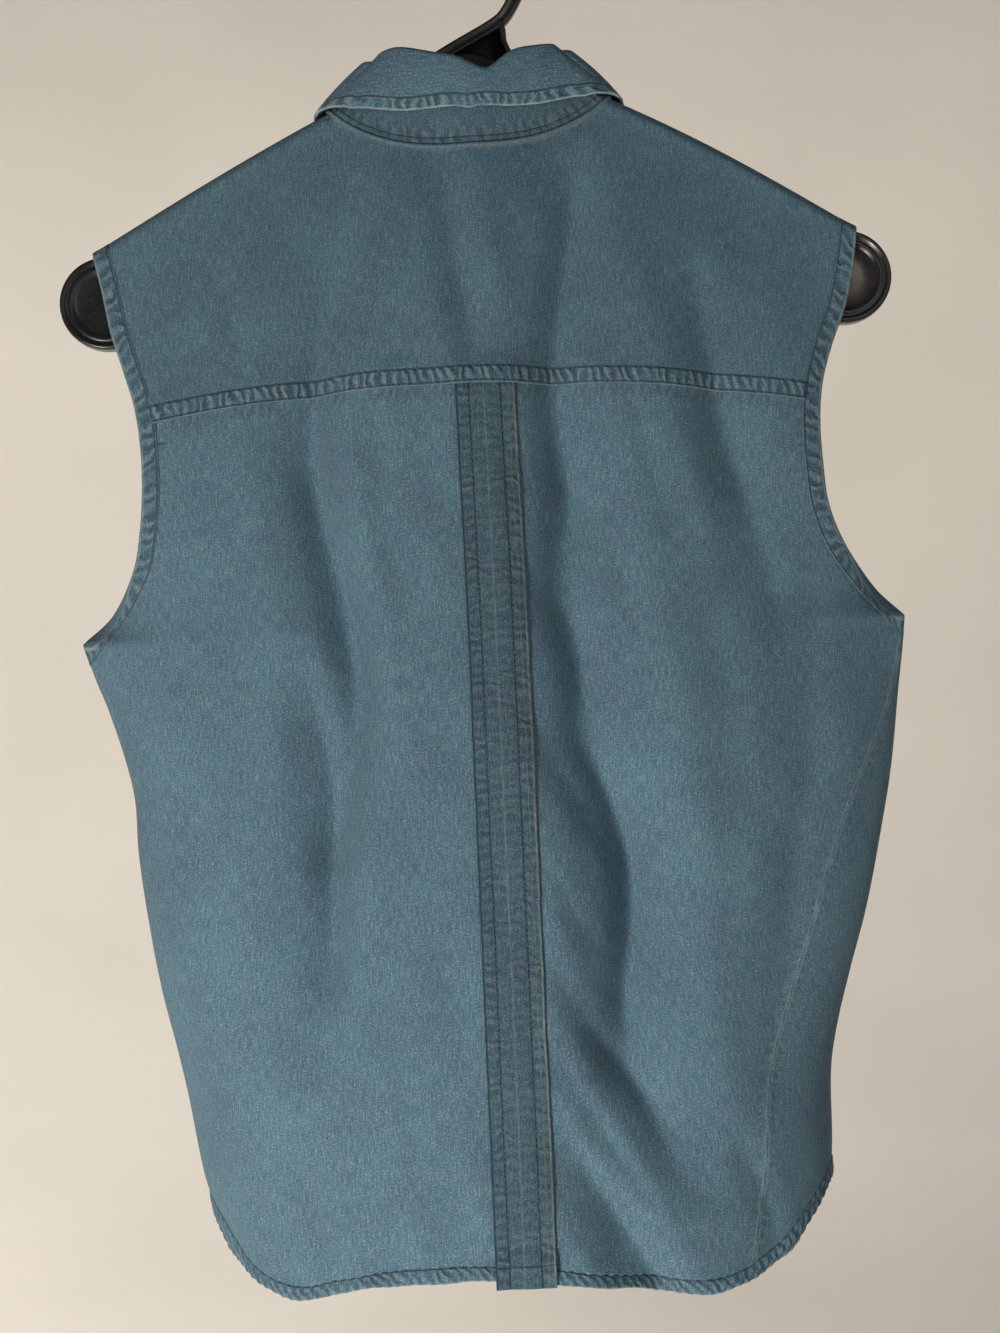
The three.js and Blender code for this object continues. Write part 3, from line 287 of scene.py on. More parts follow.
def hemTopZ(face, across):
    near = 0.01
    slope = (hemRead[face](across + near) - hemRead[face](across - near)) / (2 * near * garment["hemHalf"])
    return hemRead[face](across) + garment["hemBand"] * np.clip(np.hypot(1, slope), None, 1.9)


neckHalf = garment["neckHalf"]


def neckCornerZ(x):
    return mix(shoulderZ(np.float64(-neckHalf)), shoulderZ(np.float64(neckHalf)), smooth((x / neckHalf + 1) / 2))


def neckBackZ(x):
    return neckCornerZ(x) - garment["neckBackDrop"] * (1 - np.clip(np.abs(x) / neckHalf, 0, 1) ** 2.6)


def neckFrontZ(x):
    return neckCornerZ(x) - garment["neckFrontDrop"] * np.sqrt(1 - np.clip(np.abs(x) / neckHalf, 0, 1) ** 2)


# The armhole's edge and its row of stitches from the shoulder down, matched point to point
armDrops = dropOf(spaced((0, quarterTurn, 1.6), (quarterTurn, 221.8, 1.5)))
armShare = armDrops / armDrops[-1]


def armholeLines(face, side):
    z = mix(armholeEdge[0][0], garment["armpit"], armShare)
    scoop = garment["armholeScoop"] * np.sin(np.pi * armShare) if face < 0 else 0
    edge = np.stack([side * (armRead[side](z) - scoop), z], -1)
    along = np.gradient(edge, armShare, axis=0)
    along /= np.linalg.norm(along, axis=1, keepdims=True)
    inward = side * np.stack([along[:, 1], -along[:, 0]], -1)
    shoulder = np.array([-side, garment["shoulderSlope"]]) / np.hypot(1, garment["shoulderSlope"])
    inward = mix(inward, shoulder, 1 - smooth(armShare / 0.15)[:, None])
    inward /= np.linalg.norm(inward, axis=1, keepdims=True)
    end = np.array([side * float(sideRead[side](garment["bandEnd"])), garment["bandEnd"]])
    return edge, mix(edge + inward * garment["armholeBand"], end, smooth((armShare - 0.8) / 0.2)[:, None])


armholes = {(face, side): armholeLines(face, side) for face in (1, -1) for side in (-1, 1)}


def panelEdgeX(face, side, z, tuck=0.0):  # where a panel ends, at the armhole's stitches or the side seam
    stitch = armholes[face, side][1][::-1]
    high = np.interp(z, stitch[:, 1], stitch[:, 0])
    return np.where(z > garment["bandEnd"], high + side * tuck, side * halfWidth(z, side))


def panelSpot(t, v, acrossX, topZ, bottomZ):
    z = np.full(np.broadcast(t, v).shape, float(garment["armpit"]))
    x = acrossX(t, z)
    for turn in range(garment["settleTurns"]):
        z = mix(topZ(x, t), bottomZ(t), v)
        x = mix(x, acrossX(t, z), 0.6)
    return x, z


def runLength(points, axis):  # length along the cloth in millimetres
    step = np.linalg.norm(np.diff(points, axis=axis), axis=-1)
    return np.concatenate([np.zeros_like(np.take(step, [0], axis=axis)), np.cumsum(step, axis=axis)], axis=axis)


def joinMesh(whole, part):
    mesh = bpy.data.meshes.new("part")
    part.to_mesh(mesh)
    part.free()
    whole.from_mesh(mesh)
    bpy.data.meshes.remove(mesh)


def gridMesh(points, marks, wrap=False):  # rows of points in mm; wrap closes each row on itself
    rows, columns = points.shape[:2]
    bm = bmesh.new()
    bmesh.ops.create_grid(bm, x_segments=columns - 1 + wrap, y_segments=rows - 1, size=0.5)
    layers = [(bm.verts.layers.float_vector.new(name), values) for name, values in marks.items()]
    missing = []
    for vert in bm.verts:
        i = round((vert.co.x + 0.5) * (columns - 1 + wrap)) % columns
        j = round((0.5 - vert.co.y) * (rows - 1))
        if np.isnan(points[j, i, 0]):
            missing.append(vert)
            continue
        vert.co = points[j, i] * mm
        for layer, values in layers:
            vert[layer] = values[j, i]
    bmesh.ops.delete(bm, geom=missing, context="VERTS")
    if wrap:
        bmesh.ops.remove_doubles(bm, verts=bm.verts, dist=1e-7)
        bmesh.ops.holes_fill(bm, edges=[edge for edge in bm.edges if edge.is_boundary], sides=0)
        bmesh.ops.recalc_face_normals(bm, faces=bm.faces)
    return bm


def turnedMesh(spots, centre, axis, steps, near):  # a line of spots spun all the way round
    bm = bmesh.new()
    verts = [bm.verts.new(spot) for spot in spots]
    edges = [bm.edges.new(pair) for pair in zip(verts, verts[1:])]
    bmesh.ops.spin(bm, geom=[*verts, *edges], cent=centre, axis=axis, angle=2 * math.pi, steps=steps, use_merge=True)
    bmesh.ops.remove_doubles(bm, verts=bm.verts, dist=near)
    bmesh.ops.recalc_face_normals(bm, faces=bm.faces)
    return bm


def marksOf(cloth, edge, along, second):  # what the finishes read: the cloth's own millimetres and its seams
    third = np.zeros_like(cloth[0])
    return {
        "cloth": np.stack(np.broadcast_arrays(cloth[0], cloth[1], third), -1),
        "seam": np.stack(np.broadcast_arrays(edge, along, second), -1),
    }


def placed(name, bm, finish):
    mesh = bpy.data.meshes.new(name)
    bm.to_mesh(mesh)
    bm.free()
    mesh.polygons.foreach_set("use_smooth", [True] * len(mesh.polygons))
    mesh.materials.append(finish)
    made = bpy.data.objects.new(name, mesh)
    bpy.context.collection.objects.link(made)
    return made


def addPiece(name, bm, finish, replaced=(), wall=0):
    piece = placed(name, bm, finish)
    if wall:
        cloth = piece.modifiers.new("wall", "SOLIDIFY")
        cloth.thickness = wall * mm
        cloth.offset = 0
    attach(piece, "root")
    if replaced:
        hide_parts(*replaced)
    return piece


def linear(sheetColour):
    values = [int(sheetColour[i : i + 2], 16) / 255 for i in (1, 3, 5)]
    return (*[v / 12.92 if v <= 0.04045 else ((v + 0.055) / 1.055) ** 2.4 for v in values], 1)


def addNode(tree, kind, inputs=(), **settings):
    node = tree.nodes.new("ShaderNode" + kind)
    for name, value in settings.items():
        setattr(node, name, value)
    for key, value in inputs.items() if isinstance(inputs, dict) else enumerate(inputs):
        if isinstance(value, bpy.types.Node):
            value = value.outputs[0]
        if isinstance(value, bpy.types.NodeSocket):
            tree.links.new(value, node.inputs[key])
        else:
            node.inputs[key].default_value = value
    return node


def blankFinish(name):
    finish = bpy.data.materials.new(name)
    finish.use_nodes = True
    finish.node_tree.nodes.clear()
    return finish, finish.node_tree


# Chambray: a plain weave of blue warp and white weft, washed until it is slubbed and cloudy, with no
# shine. The yarns are 0.3 mm apart, too fine to show, so specks and slubs are drawn 0.75 to 0.85 mm wide.
chambrayLook = {
    "slate": "#4d6b7d", "teal": "#527786", "dusk": "#53657e", "pale": "#b2beb8", "dark": "#243b4b",
    "cloudMm": 30, "tintMm": 9, "slubMm": (0.75, 8.0), "weftMm": (2.4, 0.8), "speckMm": 0.85,
    "slubShare": 0.3, "weftShare": 0.16, "speckShare": 0.54,  # how much of the yarn's pattern each one makes
    "duskShare": 0.32, "paleShare": 0.42, "darkShare": 0.62,  # the most of each colour over the ground
    "yarnRiseMm": 0.22, "roughness": 0.92, "sheen": 0.1,
}


# Seams are marked on each piece in millimetres: 0 is the distance from its edge, 1 the way along it and 2
# the distance from its other edge. rows are dark sunken lines (mark, place, width, depth): lines of stitches,
# and some painted shadow lines along raised edges. puckers are waves beside a seam (mark, from, to, pitch,
# slant, rise), bumped, with a painted highlight on each crest and painted shade in each hollow. worn are
# faded strips (mark, from, to, strength).
def chambray(name, rows=(), puckers=(), worn=(), shade=1.0):
    look = chambrayLook
    finish, tree = blankFinish(name)
    cloth = addNode(tree, "Attribute", attribute_name="cloth").outputs["Vector"]
    seam = addNode(tree, "SeparateXYZ", [addNode(tree, "Attribute", attribute_name="seam").outputs["Vector"]])

    noises = {}
    for key, size, detail in (
        ("cloud", (look["cloudMm"], look["cloudMm"] * 1.6), 3), ("tint", (look["tintMm"], look["tintMm"] * 1.3), 3),
        ("slub", look["slubMm"], 2), ("weft", look["weftMm"], 1), ("speck", (look["speckMm"], look["speckMm"]), 3),
    ):
        scaled = addNode(tree, "Mapping", {"Vector": cloth, "Scale": (1 / size[0], 1 / size[1], 1)})
        noises[key] = addNode(tree, "TexNoise", {"Vector": scaled, "Scale": 1.0, "Detail": float(detail)})
    spread = {key: addNode(tree, "MapRange", [noises[key], 0.32, 0.68, 0.0, 1.0]) for key in noises}

    ground = addNode(tree, "Mix", {0: spread["cloud"], 6: linear(look["slate"]), 7: linear(look["teal"])},
                     data_type="RGBA")
    dusky = addNode(tree, "Math", [spread["tint"], look["duskShare"]], operation="MULTIPLY")
    ground = addNode(tree, "Mix", {0: dusky, 6: ground.outputs[2], 7: linear(look["dusk"])}, data_type="RGBA")
    yarn = addNode(tree, "Math", [spread["slub"], look["slubShare"]], operation="MULTIPLY")
    yarn = addNode(tree, "Math", [spread["weft"], look["weftShare"], yarn], operation="MULTIPLY_ADD")
    yarn = addNode(tree, "Math", [spread["speck"], look["speckShare"], yarn], operation="MULTIPLY_ADD")
    paleYarn = addNode(tree, "MapRange", [yarn, 0.5, 0.95, 0.0, look["paleShare"]])
    darkYarn = addNode(tree, "MapRange", [yarn, 0.56, 0.05, 0.0, look["darkShare"]])
    colour = addNode(tree, "Mix", {0: paleYarn, 6: ground.outputs[2], 7: linear(look["pale"])}, data_type="RGBA")
    colour = addNode(tree, "Mix", {0: darkYarn, 6: colour.outputs[2], 7: linear(look["dark"])}, data_type="RGBA")

    height = addNode(tree, "Math", [yarn, look["yarnRiseMm"]], operation="MULTIPLY")
    # one sum gathers worn strips and painted highlights, the other stitch lines, painted shadow lines and painted
    # shade
    wearAndHighlight = stitchesAndShade = 0.0
    uneven = addNode(tree, "MapRange", [noises["tint"], 0.36, 0.64, 0.4, 1.25])
    for side, start, end, pitch, slant, rise in puckers:
        wobble = addNode(tree, "Math", [noises["tint"], pitch * 2.1, seam.outputs[1]], operation="MULTIPLY_ADD")
        wobble = addNode(tree, "Math", [seam.outputs[side], slant, wobble], operation="MULTIPLY_ADD")
        turn = addNode(tree, "Math", [wobble, 2 * math.pi / pitch], operation="MULTIPLY")
        wave = addNode(tree, "Math", [turn], operation="SINE")
        wave = addNode(tree, "Math", [wave, uneven], operation="MULTIPLY")
        inner = addNode(tree, "MapRange", [seam.outputs[side], start - 1.6, start + 0.8, 0.0, 1.0],
                        interpolation_type="SMOOTHSTEP")
        outer = addNode(tree, "MapRange", [seam.outputs[side], end - 0.8, end + 1.6, 1.0, 0.0],
                        interpolation_type="SMOOTHSTEP")
        wave = addNode(tree, "Math", [wave, addNode(tree, "Math", [inner, outer], operation="MULTIPLY")],
                       operation="MULTIPLY")
        height = addNode(tree, "Math", [wave, rise, height], operation="MULTIPLY_ADD")
        # besides the bump, each pucker's crest gets a painted highlight and its hollow painted shade
        crestHighlight = addNode(tree, "MapRange", [wave, 0.2, 1.0, 0.0, 0.55 * rise])
        troughShade = addNode(tree, "MapRange", [wave, 0.1, -0.9, 0.0, 1.6 * rise])
        wearAndHighlight = addNode(tree, "Math", [wearAndHighlight, crestHighlight], operation="MAXIMUM")
        stitchesAndShade = addNode(tree, "Math", [stitchesAndShade, troughShade], operation="MAXIMUM")
    # each row is painted dark: a stitch line, or a painted shadow line where it lies along a raised edge
    for side, place, width, depth in rows:
        gap = addNode(tree, "Math", [seam.outputs[side], place], operation="SUBTRACT")
        gap = addNode(tree, "Math", [gap], operation="ABSOLUTE")
        groove = addNode(tree, "MapRange", [gap, 0.0, width, 1.0, 0.0], interpolation_type="SMOOTHSTEP")
        height = addNode(tree, "Math", [groove, -depth, height], operation="MULTIPLY_ADD")
        groove = addNode(tree, "Math", [groove, min(0.85, 2.2 * depth)], operation="MULTIPLY")
        stitchesAndShade = addNode(tree, "Math", [stitchesAndShade, groove], operation="MAXIMUM")
    for side, start, end, strength in worn:
        inner = addNode(tree, "MapRange", [seam.outputs[side], start - 0.5, start + 0.1, 0.0, 1.0])
        outer = addNode(tree, "MapRange", [seam.outputs[side], end - 0.2, end + 0.6, 1.0, 0.0])
        patchy = addNode(tree, "MapRange", [noises["tint"], 0.34, 0.6, 0.35 * strength, strength])
        line = addNode(tree, "Math", [inner, outer], operation="MULTIPLY")
        line = addNode(tree, "Math", [line, patchy], operation="MULTIPLY")
        wearAndHighlight = addNode(tree, "Math", [wearAndHighlight, line], operation="MAXIMUM")
    # dark: stitch lines, painted shadow lines and painted pucker shade; pale: worn strips and painted pucker
    # highlights
    colour = addNode(tree, "Mix", {0: stitchesAndShade, 6: colour.outputs[2], 7: linear(look["dark"])}, data_type="RGBA")
    colour = addNode(tree, "Mix", {0: wearAndHighlight, 6: colour.outputs[2], 7: linear(look["pale"])}, data_type="RGBA")
    colour = addNode(tree, "HueSaturation", {"Value": shade, "Color": colour.outputs[2]})
    height = addNode(tree, "Math", [height, mm], operation="MULTIPLY")  # from millimetres to metres
    bump = addNode(tree, "Bump", {"Strength": 1.0, "Distance": 1.0, "Height": height})
    shader = addNode(tree, "BsdfPrincipled", {
        "Base Color": colour, "Roughness": look["roughness"], "Specular IOR Level": 0.15,
        "Sheen Weight": look["sheen"], "Sheen Roughness": 0.45, "Normal": bump})
    addNode(tree, "OutputMaterial", [shader])
    return finish


backWave = 5.0  # pitch of the puckers along the stitched seams, in millimetres

# The yoke is one layer of cloth from the back seam over the shoulders to the front seams.
yoke = {"wall": 0.9, "edgeLift": 0.5, "overPleat": 1.5, "cut": (0.43, 0.27), "area": 0.067}
pleat = {"wide": 31.5, "wall": 0.8, "off": 1.3, "rowsIn": 7.4, "cut": (0.0315, 0.475),
         "middle": [(-262, 3), (-376, 5), (-534, 6.5), (-735, 8)]}
pleatX = reader(pleat["middle"], 0, 1)

yokeFinish = chambray(
    "chambrayYoke",
    # the row at -0.4 darkens the last half millimetre of the yoke's seamed edge: a painted shadow line
    rows=[(0, 1.5, 1.3, 0.4), (0, 9.6, 1.2, 0.4), (0, -0.4, 1.0, 0.34), (2, 1.2, 0.9, 0.3)],
    puckers=[(0, 1.8, 9.2, backWave, 0.15, 0.4), (2, 1.4, 5.0, 6.0, 0.4, 0.1)],
    worn=[(0, 0.3, 0.7, 0.24), (2, 2.1, 2.7, 0.24)],
    shade=0.96,
)


def armholePath(side):  # where the yoke's side edge lies at each path
    paths = np.linspace(-60, 260, 641)
    x = np.full_like(paths, side * 203.0)
    for turn in range(garment["settleTurns"]):
        z = shoulderZ(x) - dropOf(paths)
        front, back = [panelEdgeX(face, side, z, garment["tuck"]) for face in (-1, 1)]
        x = mix(x, np.where(paths < 0, front, back), 0.6)
    return paths, x


armholePaths = {side: armholePath(side) for side in (-1, 1)}


def yokeEdgeX(side, path):
    return float(np.interp(path, *armholePaths[side]))


def neckFrontX(path):  # where a row of the front of the yoke meets the neck
    x = np.float64(neckHalf)
    for turn in range(30):
        down = np.clip((neckCornerZ(x) - shoulderZ(x) + dropOf(path)) / garment["neckFrontDrop"], 0, 1)
        x = neckHalf * np.sqrt(1 - down * down)
    return x


def yokeLift(x, above):  # how far the yoke's edge stands off, more where it crosses the pleat
    overPleat = smooth((pleat["wide"] / 2 + 7 - np.abs(x - pleatX(garment["yokeSeam"] - 2.5))) / 8)
    return (yoke["edgeLift"] + yoke["overPleat"] * overPleat) * (1 - smooth((above - 5) / 16))


def yokeGrid():
    corner = neckHalf / abs(yokeEdgeX(1, 0.0))
    even = np.linspace(-1, 1, 127)[1:-1]
    neckShare = mix(even, np.sin(even * np.pi / 2), 0.5)
    across = np.concatenate([spaced((-1, -corner, 0.0135)), corner * neckShare, spaced((corner, 1, 0.0135))])
    inNeck = np.abs(across) < corner - 1e-6
    side = np.sign(across).astype(int)

    def armAt(path):
        return np.where(side < 0, abs(yokeEdgeX(-1, path)), abs(yokeEdgeX(1, path)))

    points, cloth, edge, second = [], [], [], []
    for path in spaced((-garment["frontYoke"] - 0.2, -quarterTurn, 1.4), (-quarterTurn, 0, 1.3))[:-1]:
        neckX = neckFrontX(path)
        x = side * mix(neckX, armAt(path), (np.abs(across) - corner) / (1 - corner))
        above = path + garment["frontYoke"]
        row = clothSpot(x, np.full_like(x, path), yoke["edgeLift"] * (1 - smooth((above - 6) / 12)))
        row[inNeck] = np.nan
        points.append(row)
        cloth.append(np.stack([x, np.full_like(x, path)], -1))
        edge.append(np.full_like(x, above + 0.4))
        second.append(np.abs(x) - neckX)
    turns = spaced((0, quarterTurn, 1.3))
    shares = spaced((0, 0.84, 0.0125), (0.84, 1, 0.0065))[1:]
    for turn, share in [*[(turn, 0) for turn in turns], *[(quarterTurn, share) for share in shares]]:
        path = np.full_like(across, turn)
        armPath = turn
        for again in range(3):
            x = across * armAt(armPath)
            top = np.where(inNeck, pathOf(shoulderZ(x) - neckBackZ(x)), 0)
            seamPath = pathOf(shoulderZ(x) - yokeSeamZ(across))
            path = mix(top + turn, seamPath, share)
            armPath = float(path[-1])
        above = seamPath - path
        points.append(clothSpot(x, path, yokeLift(x, above)))
        cloth.append(np.stack([x, path], -1))
        edge.append(above)
        second.append(np.where(inNeck, path - top, np.hypot(np.abs(x) - neckHalf, path)))
    points, cloth, edge, second = [np.array(rows) for rows in (points, cloth, edge, second)]
    return gridMesh(points, marksOf((cloth[..., 0], cloth[..., 1]), edge, cloth[..., 0], second))


yokePiece = addPiece("yokeCloth", yokeGrid(), yokeFinish, ["yoke"], yoke["wall"])
print("yoke made")

# The back panel hangs from under the yoke's edge down to the hem.
backPanel = {
    "wall": 0.9, "underYoke": 3.0, "cut": (0.46, 0.49), "area": 0.197,
    "columns": 218, "rows": [(0, 0.04, 0.0035), (0.04, 0.97, 0.0049), (0.97, 1, 0.0035)],
    "seamProud": 0.45, "seamWide": 1.6,
    # the right side seam turns on to the back low down: z, distance in from the side
    "sideSeam": [(-402, 1), (-440, 7), (-470, 18), (-500, 27), (-540, 33), (-580, 36), (-640, 40), (-700, 44),
                 (-740, 46)],
}
sideSeamIn = reader(backPanel["sideSeam"], 0, 1)
panelFinish = chambray(
    "chambrayBack",
    rows=[(2, 0.0, 0.8, 0.12)],
    puckers=[(0, -1.0, 6.0, backWave, 0.3, 0.1), (2, 0.8, 5.0, 6.0, 0.3, 0.08)],
    worn=[(2, 0.9, 1.3, 0.22)],
)


def backGrid():
    t, v = np.meshgrid(np.linspace(0, 1, backPanel["columns"]), spaced(*backPanel["rows"]))
    x, z = panelSpot(
        t, v,
        lambda t, z: mix(panelEdgeX(1, -1, z, garment["tuck"]), panelEdgeX(1, 1, z, garment["tuck"]), t),
        lambda x, t: yokeSeamZ(2 * t - 1) + backPanel["underYoke"],
        lambda t: hemTopZ(1, 2 * t - 1) - garment["hemTuck"],
    )
    below = yokeSeamZ(2 * t - 1) - z
    out = -0.5 * (1 - smooth((below - 1) / 6))
    out = np.where((np.abs(2 * t - 1) > 0.99) & (z > garment["bandEnd"]), out - 0.25, out)
    fromSeam = x - halfWidth(z, 1) + sideSeamIn(z)
    low = z < garment["bandEnd"]
    # a felled seam stands a little proud
    proud = backPanel["seamProud"] * np.exp(-((np.clip(fromSeam, -3, 3) / backPanel["seamWide"]) ** 2))
    out = out + np.where(low, proud - 0.01, 0)
    points = faceSpot(1, x, z, out)
    armGap = np.minimum(np.abs(x - panelEdgeX(1, -1, z)), np.abs(x - panelEdgeX(1, 1, z))) + 1.2
    second = np.where(low, np.abs(fromSeam), armGap)
    across = runLength(points, 1)
    across -= np.array([[np.interp(0, row, run)] for row, run in zip(x, across)])
    cloth = (across, runLength(points, 0))
    along = np.where(below < 12, x, z)
    return gridMesh(points, marksOf(cloth, below, along, second))


backPiece = addPiece("backCloth", backGrid(), panelFinish, ["back_panel"], backPanel["wall"])
print("back panel made")

pleatFinish = chambray(
    "chambrayPleat",
    # the row 0.5 mm in from the left edge is a painted shadow line along the pleat's raised edge
    rows=[(0, pleat["rowsIn"], 0.8, 0.36), (2, pleat["rowsIn"], 0.8, 0.36), (0, 0.5, 1.3, 0.4),
          (1, 1000 * pleat["cut"][1] - 8, 0.9, 0.34)],
    puckers=[(0, 1.4, 6.8, 5.6, 0.1, 0.2), (2, 0.9, 6.8, 6.3, 0.1, 0.2), (0, 8.4, 23.0, 6.0, 0.05, 0.12)],
    worn=[(0, 14.8, 15.3, 0.25), (2, 0.1, 0.9, 0.62), (2, 3.6, 4.0, 0.2)],
    shade=0.66,
)


def bandProfile(d, inner, deep):  # a stitched band sinks a little at its rows
    return deep * (1 - np.exp(-(((d - inner) / 1.6) ** 2)))


def pleatGrid():
    d = np.linspace(0, pleat["wide"], 31)
    v = np.linspace(0, 1, 300)
    d, v = np.meshgrid(d, v)
    z = mix(yokeSeamZ(0) + 3.5, hemRead[1](0.05) - 3.5, v)
    x = pleatX(z) + d - pleat["wide"] / 2
    nearer = np.minimum(d, pleat["wide"] - d)
    top = 1 - smooth((yokeSeamZ(0) - z + 3) / 9)
    overHem = smooth((hemTopZ(1, 0.05) + 10 - z) / 9)
    out = pleat["off"] - 0.5 * top + bandProfile(nearer, pleat["rowsIn"], 0.35) - 0.35 + 1.7 * overHem
    out = out + 0.15 * (1 - smooth(nearer / 2.5)) * (1 - top)
    points = faceSpot(1, x, z, out)
    cloth = (x + 300, runLength(points, 0) + 40)
    return gridMesh(points, marksOf(cloth, d, runLength(points, 0), pleat["wide"] - d))


pleatPiece = addPiece("backPleat", pleatGrid(), pleatFinish, ["back_pleat"], pleat["wall"])
print("pleat made")

# Each front runs from under the placket to the side seam. The left one lies on top at the buttons.
fronts = {"wall": 0.9, "underYoke": 2.5, "lap": 28, "cut": (0.25, 0.62), "area": 0.124}
placket = {"wide": 30.0, "gap": 0.6, "wall": 1.1, "off": 1.55, "rowsIn": 5.5, "cut": (0.03, 0.585)}
frontFinish = chambray(
    "chambrayFront",
    rows=[(2, 0.4, 0.8, 0.3)],
    puckers=[(0, 0.0, 4.0, backWave, 0.3, 0.25), (2, 0.8, 4.0, 6.0, 0.3, 0.16)],
    worn=[(0, -0.5, 0.4, 0.4)],
)


def frontGrid(side):
    start = side * (placket["wide"] / 2 + placket["gap"])
    t = np.concatenate([np.linspace(-1, 0, 14)[:-1], np.linspace(0, 1, 104)])
    v = spaced((0, 0.04, 0.004), (0.04, 0.97, 0.0049), (0.97, 1, 0.004))
    t, v = np.meshgrid(t, v)

    def acrossX(t, z):
        sideX = panelEdgeX(-1, side, z, garment["tuck"])
        return np.where(t < 0, start + side * t * fronts["lap"], mix(start, sideX, np.clip(t, 0, 1)))

    def share(t):
        return side * mix(abs(start) / garment["hemHalf"], 1, t)

    def topZ(x, t):
        return np.minimum(neckFrontZ(x), shoulderZ(x) - dropOf(garment["frontYoke"]) + fronts["underYoke"])

    x, z = panelSpot(t, v, acrossX, topZ, lambda t: hemTopZ(-1, share(t)) - garment["hemTuck"])
    below = shoulderZ(x) - dropOf(garment["frontYoke"]) - z
    under = garment["lapDepth"] * smooth((placket["wide"] * 1.2 - x) / placket["wide"]) if side > 0 else 0
    yokeOver = 1 - smooth((below - 1) / 6)
    points = faceSpot(-1, x, z, -0.5 * yokeOver - under)
    armGap = np.abs(x - panelEdgeX(-1, side, z)) + 1.2
    second = np.where(z > garment["bandEnd"], armGap, np.abs(x - side * halfWidth(z, side)))
    cloth = (runLength(points, 1) * side + 900, runLength(points, 0))
    return gridMesh(points, marksOf(cloth, np.where(below < 12, np.abs(below), 99), x, second))


frontLeft = addPiece("frontLeftCloth", frontGrid(-1), frontFinish, ["front_left"], fronts["wall"])
frontRight = addPiece("frontRightCloth", frontGrid(1), frontFinish, ["front_right"], fronts["wall"])
print("fronts made")

placketFinish = chambray(
    "chambrayPlacket",
    rows=[(0, placket["rowsIn"], 0.8, 0.35), (2, placket["rowsIn"], 0.8, 0.35)],
    puckers=[(0, 0.4, 5.0, 5.4, 0.1, 0.25), (2, 0.4, 5.0, 5.0, 0.1, 0.25)],
    worn=[(2, -0.4, 0.5, 0.5), (0, -0.4, 0.5, 0.5)],
    shade=0.93,
)


def placketGrid():
    d, v = np.meshgrid(np.linspace(0, placket["wide"], 31), np.linspace(0, 1, 280))
    x = d - placket["wide"] / 2
    z = mix(neckFrontZ(x) - 0.6, hemRead[-1](0) + 0 * x, v)
    nearer = np.minimum(d, placket["wide"] - d)
    out = placket["off"] + bandProfile(nearer, placket["rowsIn"], 0.3) - 0.3
    points = faceSpot(-1, x, z, out)
    cloth = (x + 900, runLength(points, 0))
    return gridMesh(points, marksOf(cloth, d, runLength(points, 0), placket["wide"] - d))


placketPiece = addPiece("frontPlacket", placketGrid(), placketFinish, ["placket"], placket["wall"])
print("placket made")

# The armhole edges are turned in 10 mm and stitched down.
armholeBand = {"wall": 1.8, "off": -0.25, "cut": (0.011, 0.48), "columns": 12, "wide": 10}
bandFinish = chambray(
    "chambrayTurnedEdge",
    rows=[(0, 1.3, 0.8, 0.4)],
    puckers=[(0, 1.6, 9.0, 7.4, 0.45, 0.3)],
    worn=[(0, 9.0, 10.4, 0.32)],
    shade=0.9,
)


def bandGrid(side):
    rows = []
    across = np.linspace(0, 1, armholeBand["columns"])
    for face in (1, -1):
        edge, stitch = armholes[face, side]
        x = mix(stitch[:, :1], edge[:, :1], across)
        z = np.minimum(mix(stitch[:, 1:], edge[:, 1:], across), shoulderZ(x))
        spots = faceSpot(face, x, z, armholeBand["off"] * (1 - smooth((armShare[:, None] - 0.93) / 0.06)))
        rows.append(spots[::-1] if face > 0 else spots[1:])
    points = np.concatenate(rows)
    wide = runLength(points, 1)
    middle = armholeBand["columns"] // 2
    along = np.broadcast_to(runLength(points, 0)[:, middle:middle + 1], wide.shape)
    # each band is cut from another place of the cloth
    cloth = (wide + 1200 + 100 * side, along)
    return gridMesh(points, marksOf(cloth, wide, along, armholeBand["wide"] - wide))


bandLeft, bandRight = [
    addPiece("armholeEdge" + name, bandGrid(side), bandFinish, [node], armholeBand["wall"])
    for name, side, node in (("Left", -1, "armhole_band_left"), ("Right", 1, "armhole_band_right"))
]
print("armhole edges made")

# The hem is rolled and stitched, so it puckers slantwise like a rope.
hem = {"thick": 2.9, "pucker": 0.42, "pitch": 5.8, "curl": 1.2, "uneven": 0.13, "around": 18}
hemFinish = chambray(
    "chambrayHem",
    rows=[(0, 7.2, 0.8, 0.3)],
    puckers=[(0, -2.0, 6.6, hem["pitch"], 0.8, 0.26)],
    worn=[(0, -1.6, 0.4, 0.36)],
    shade=0.95,
)


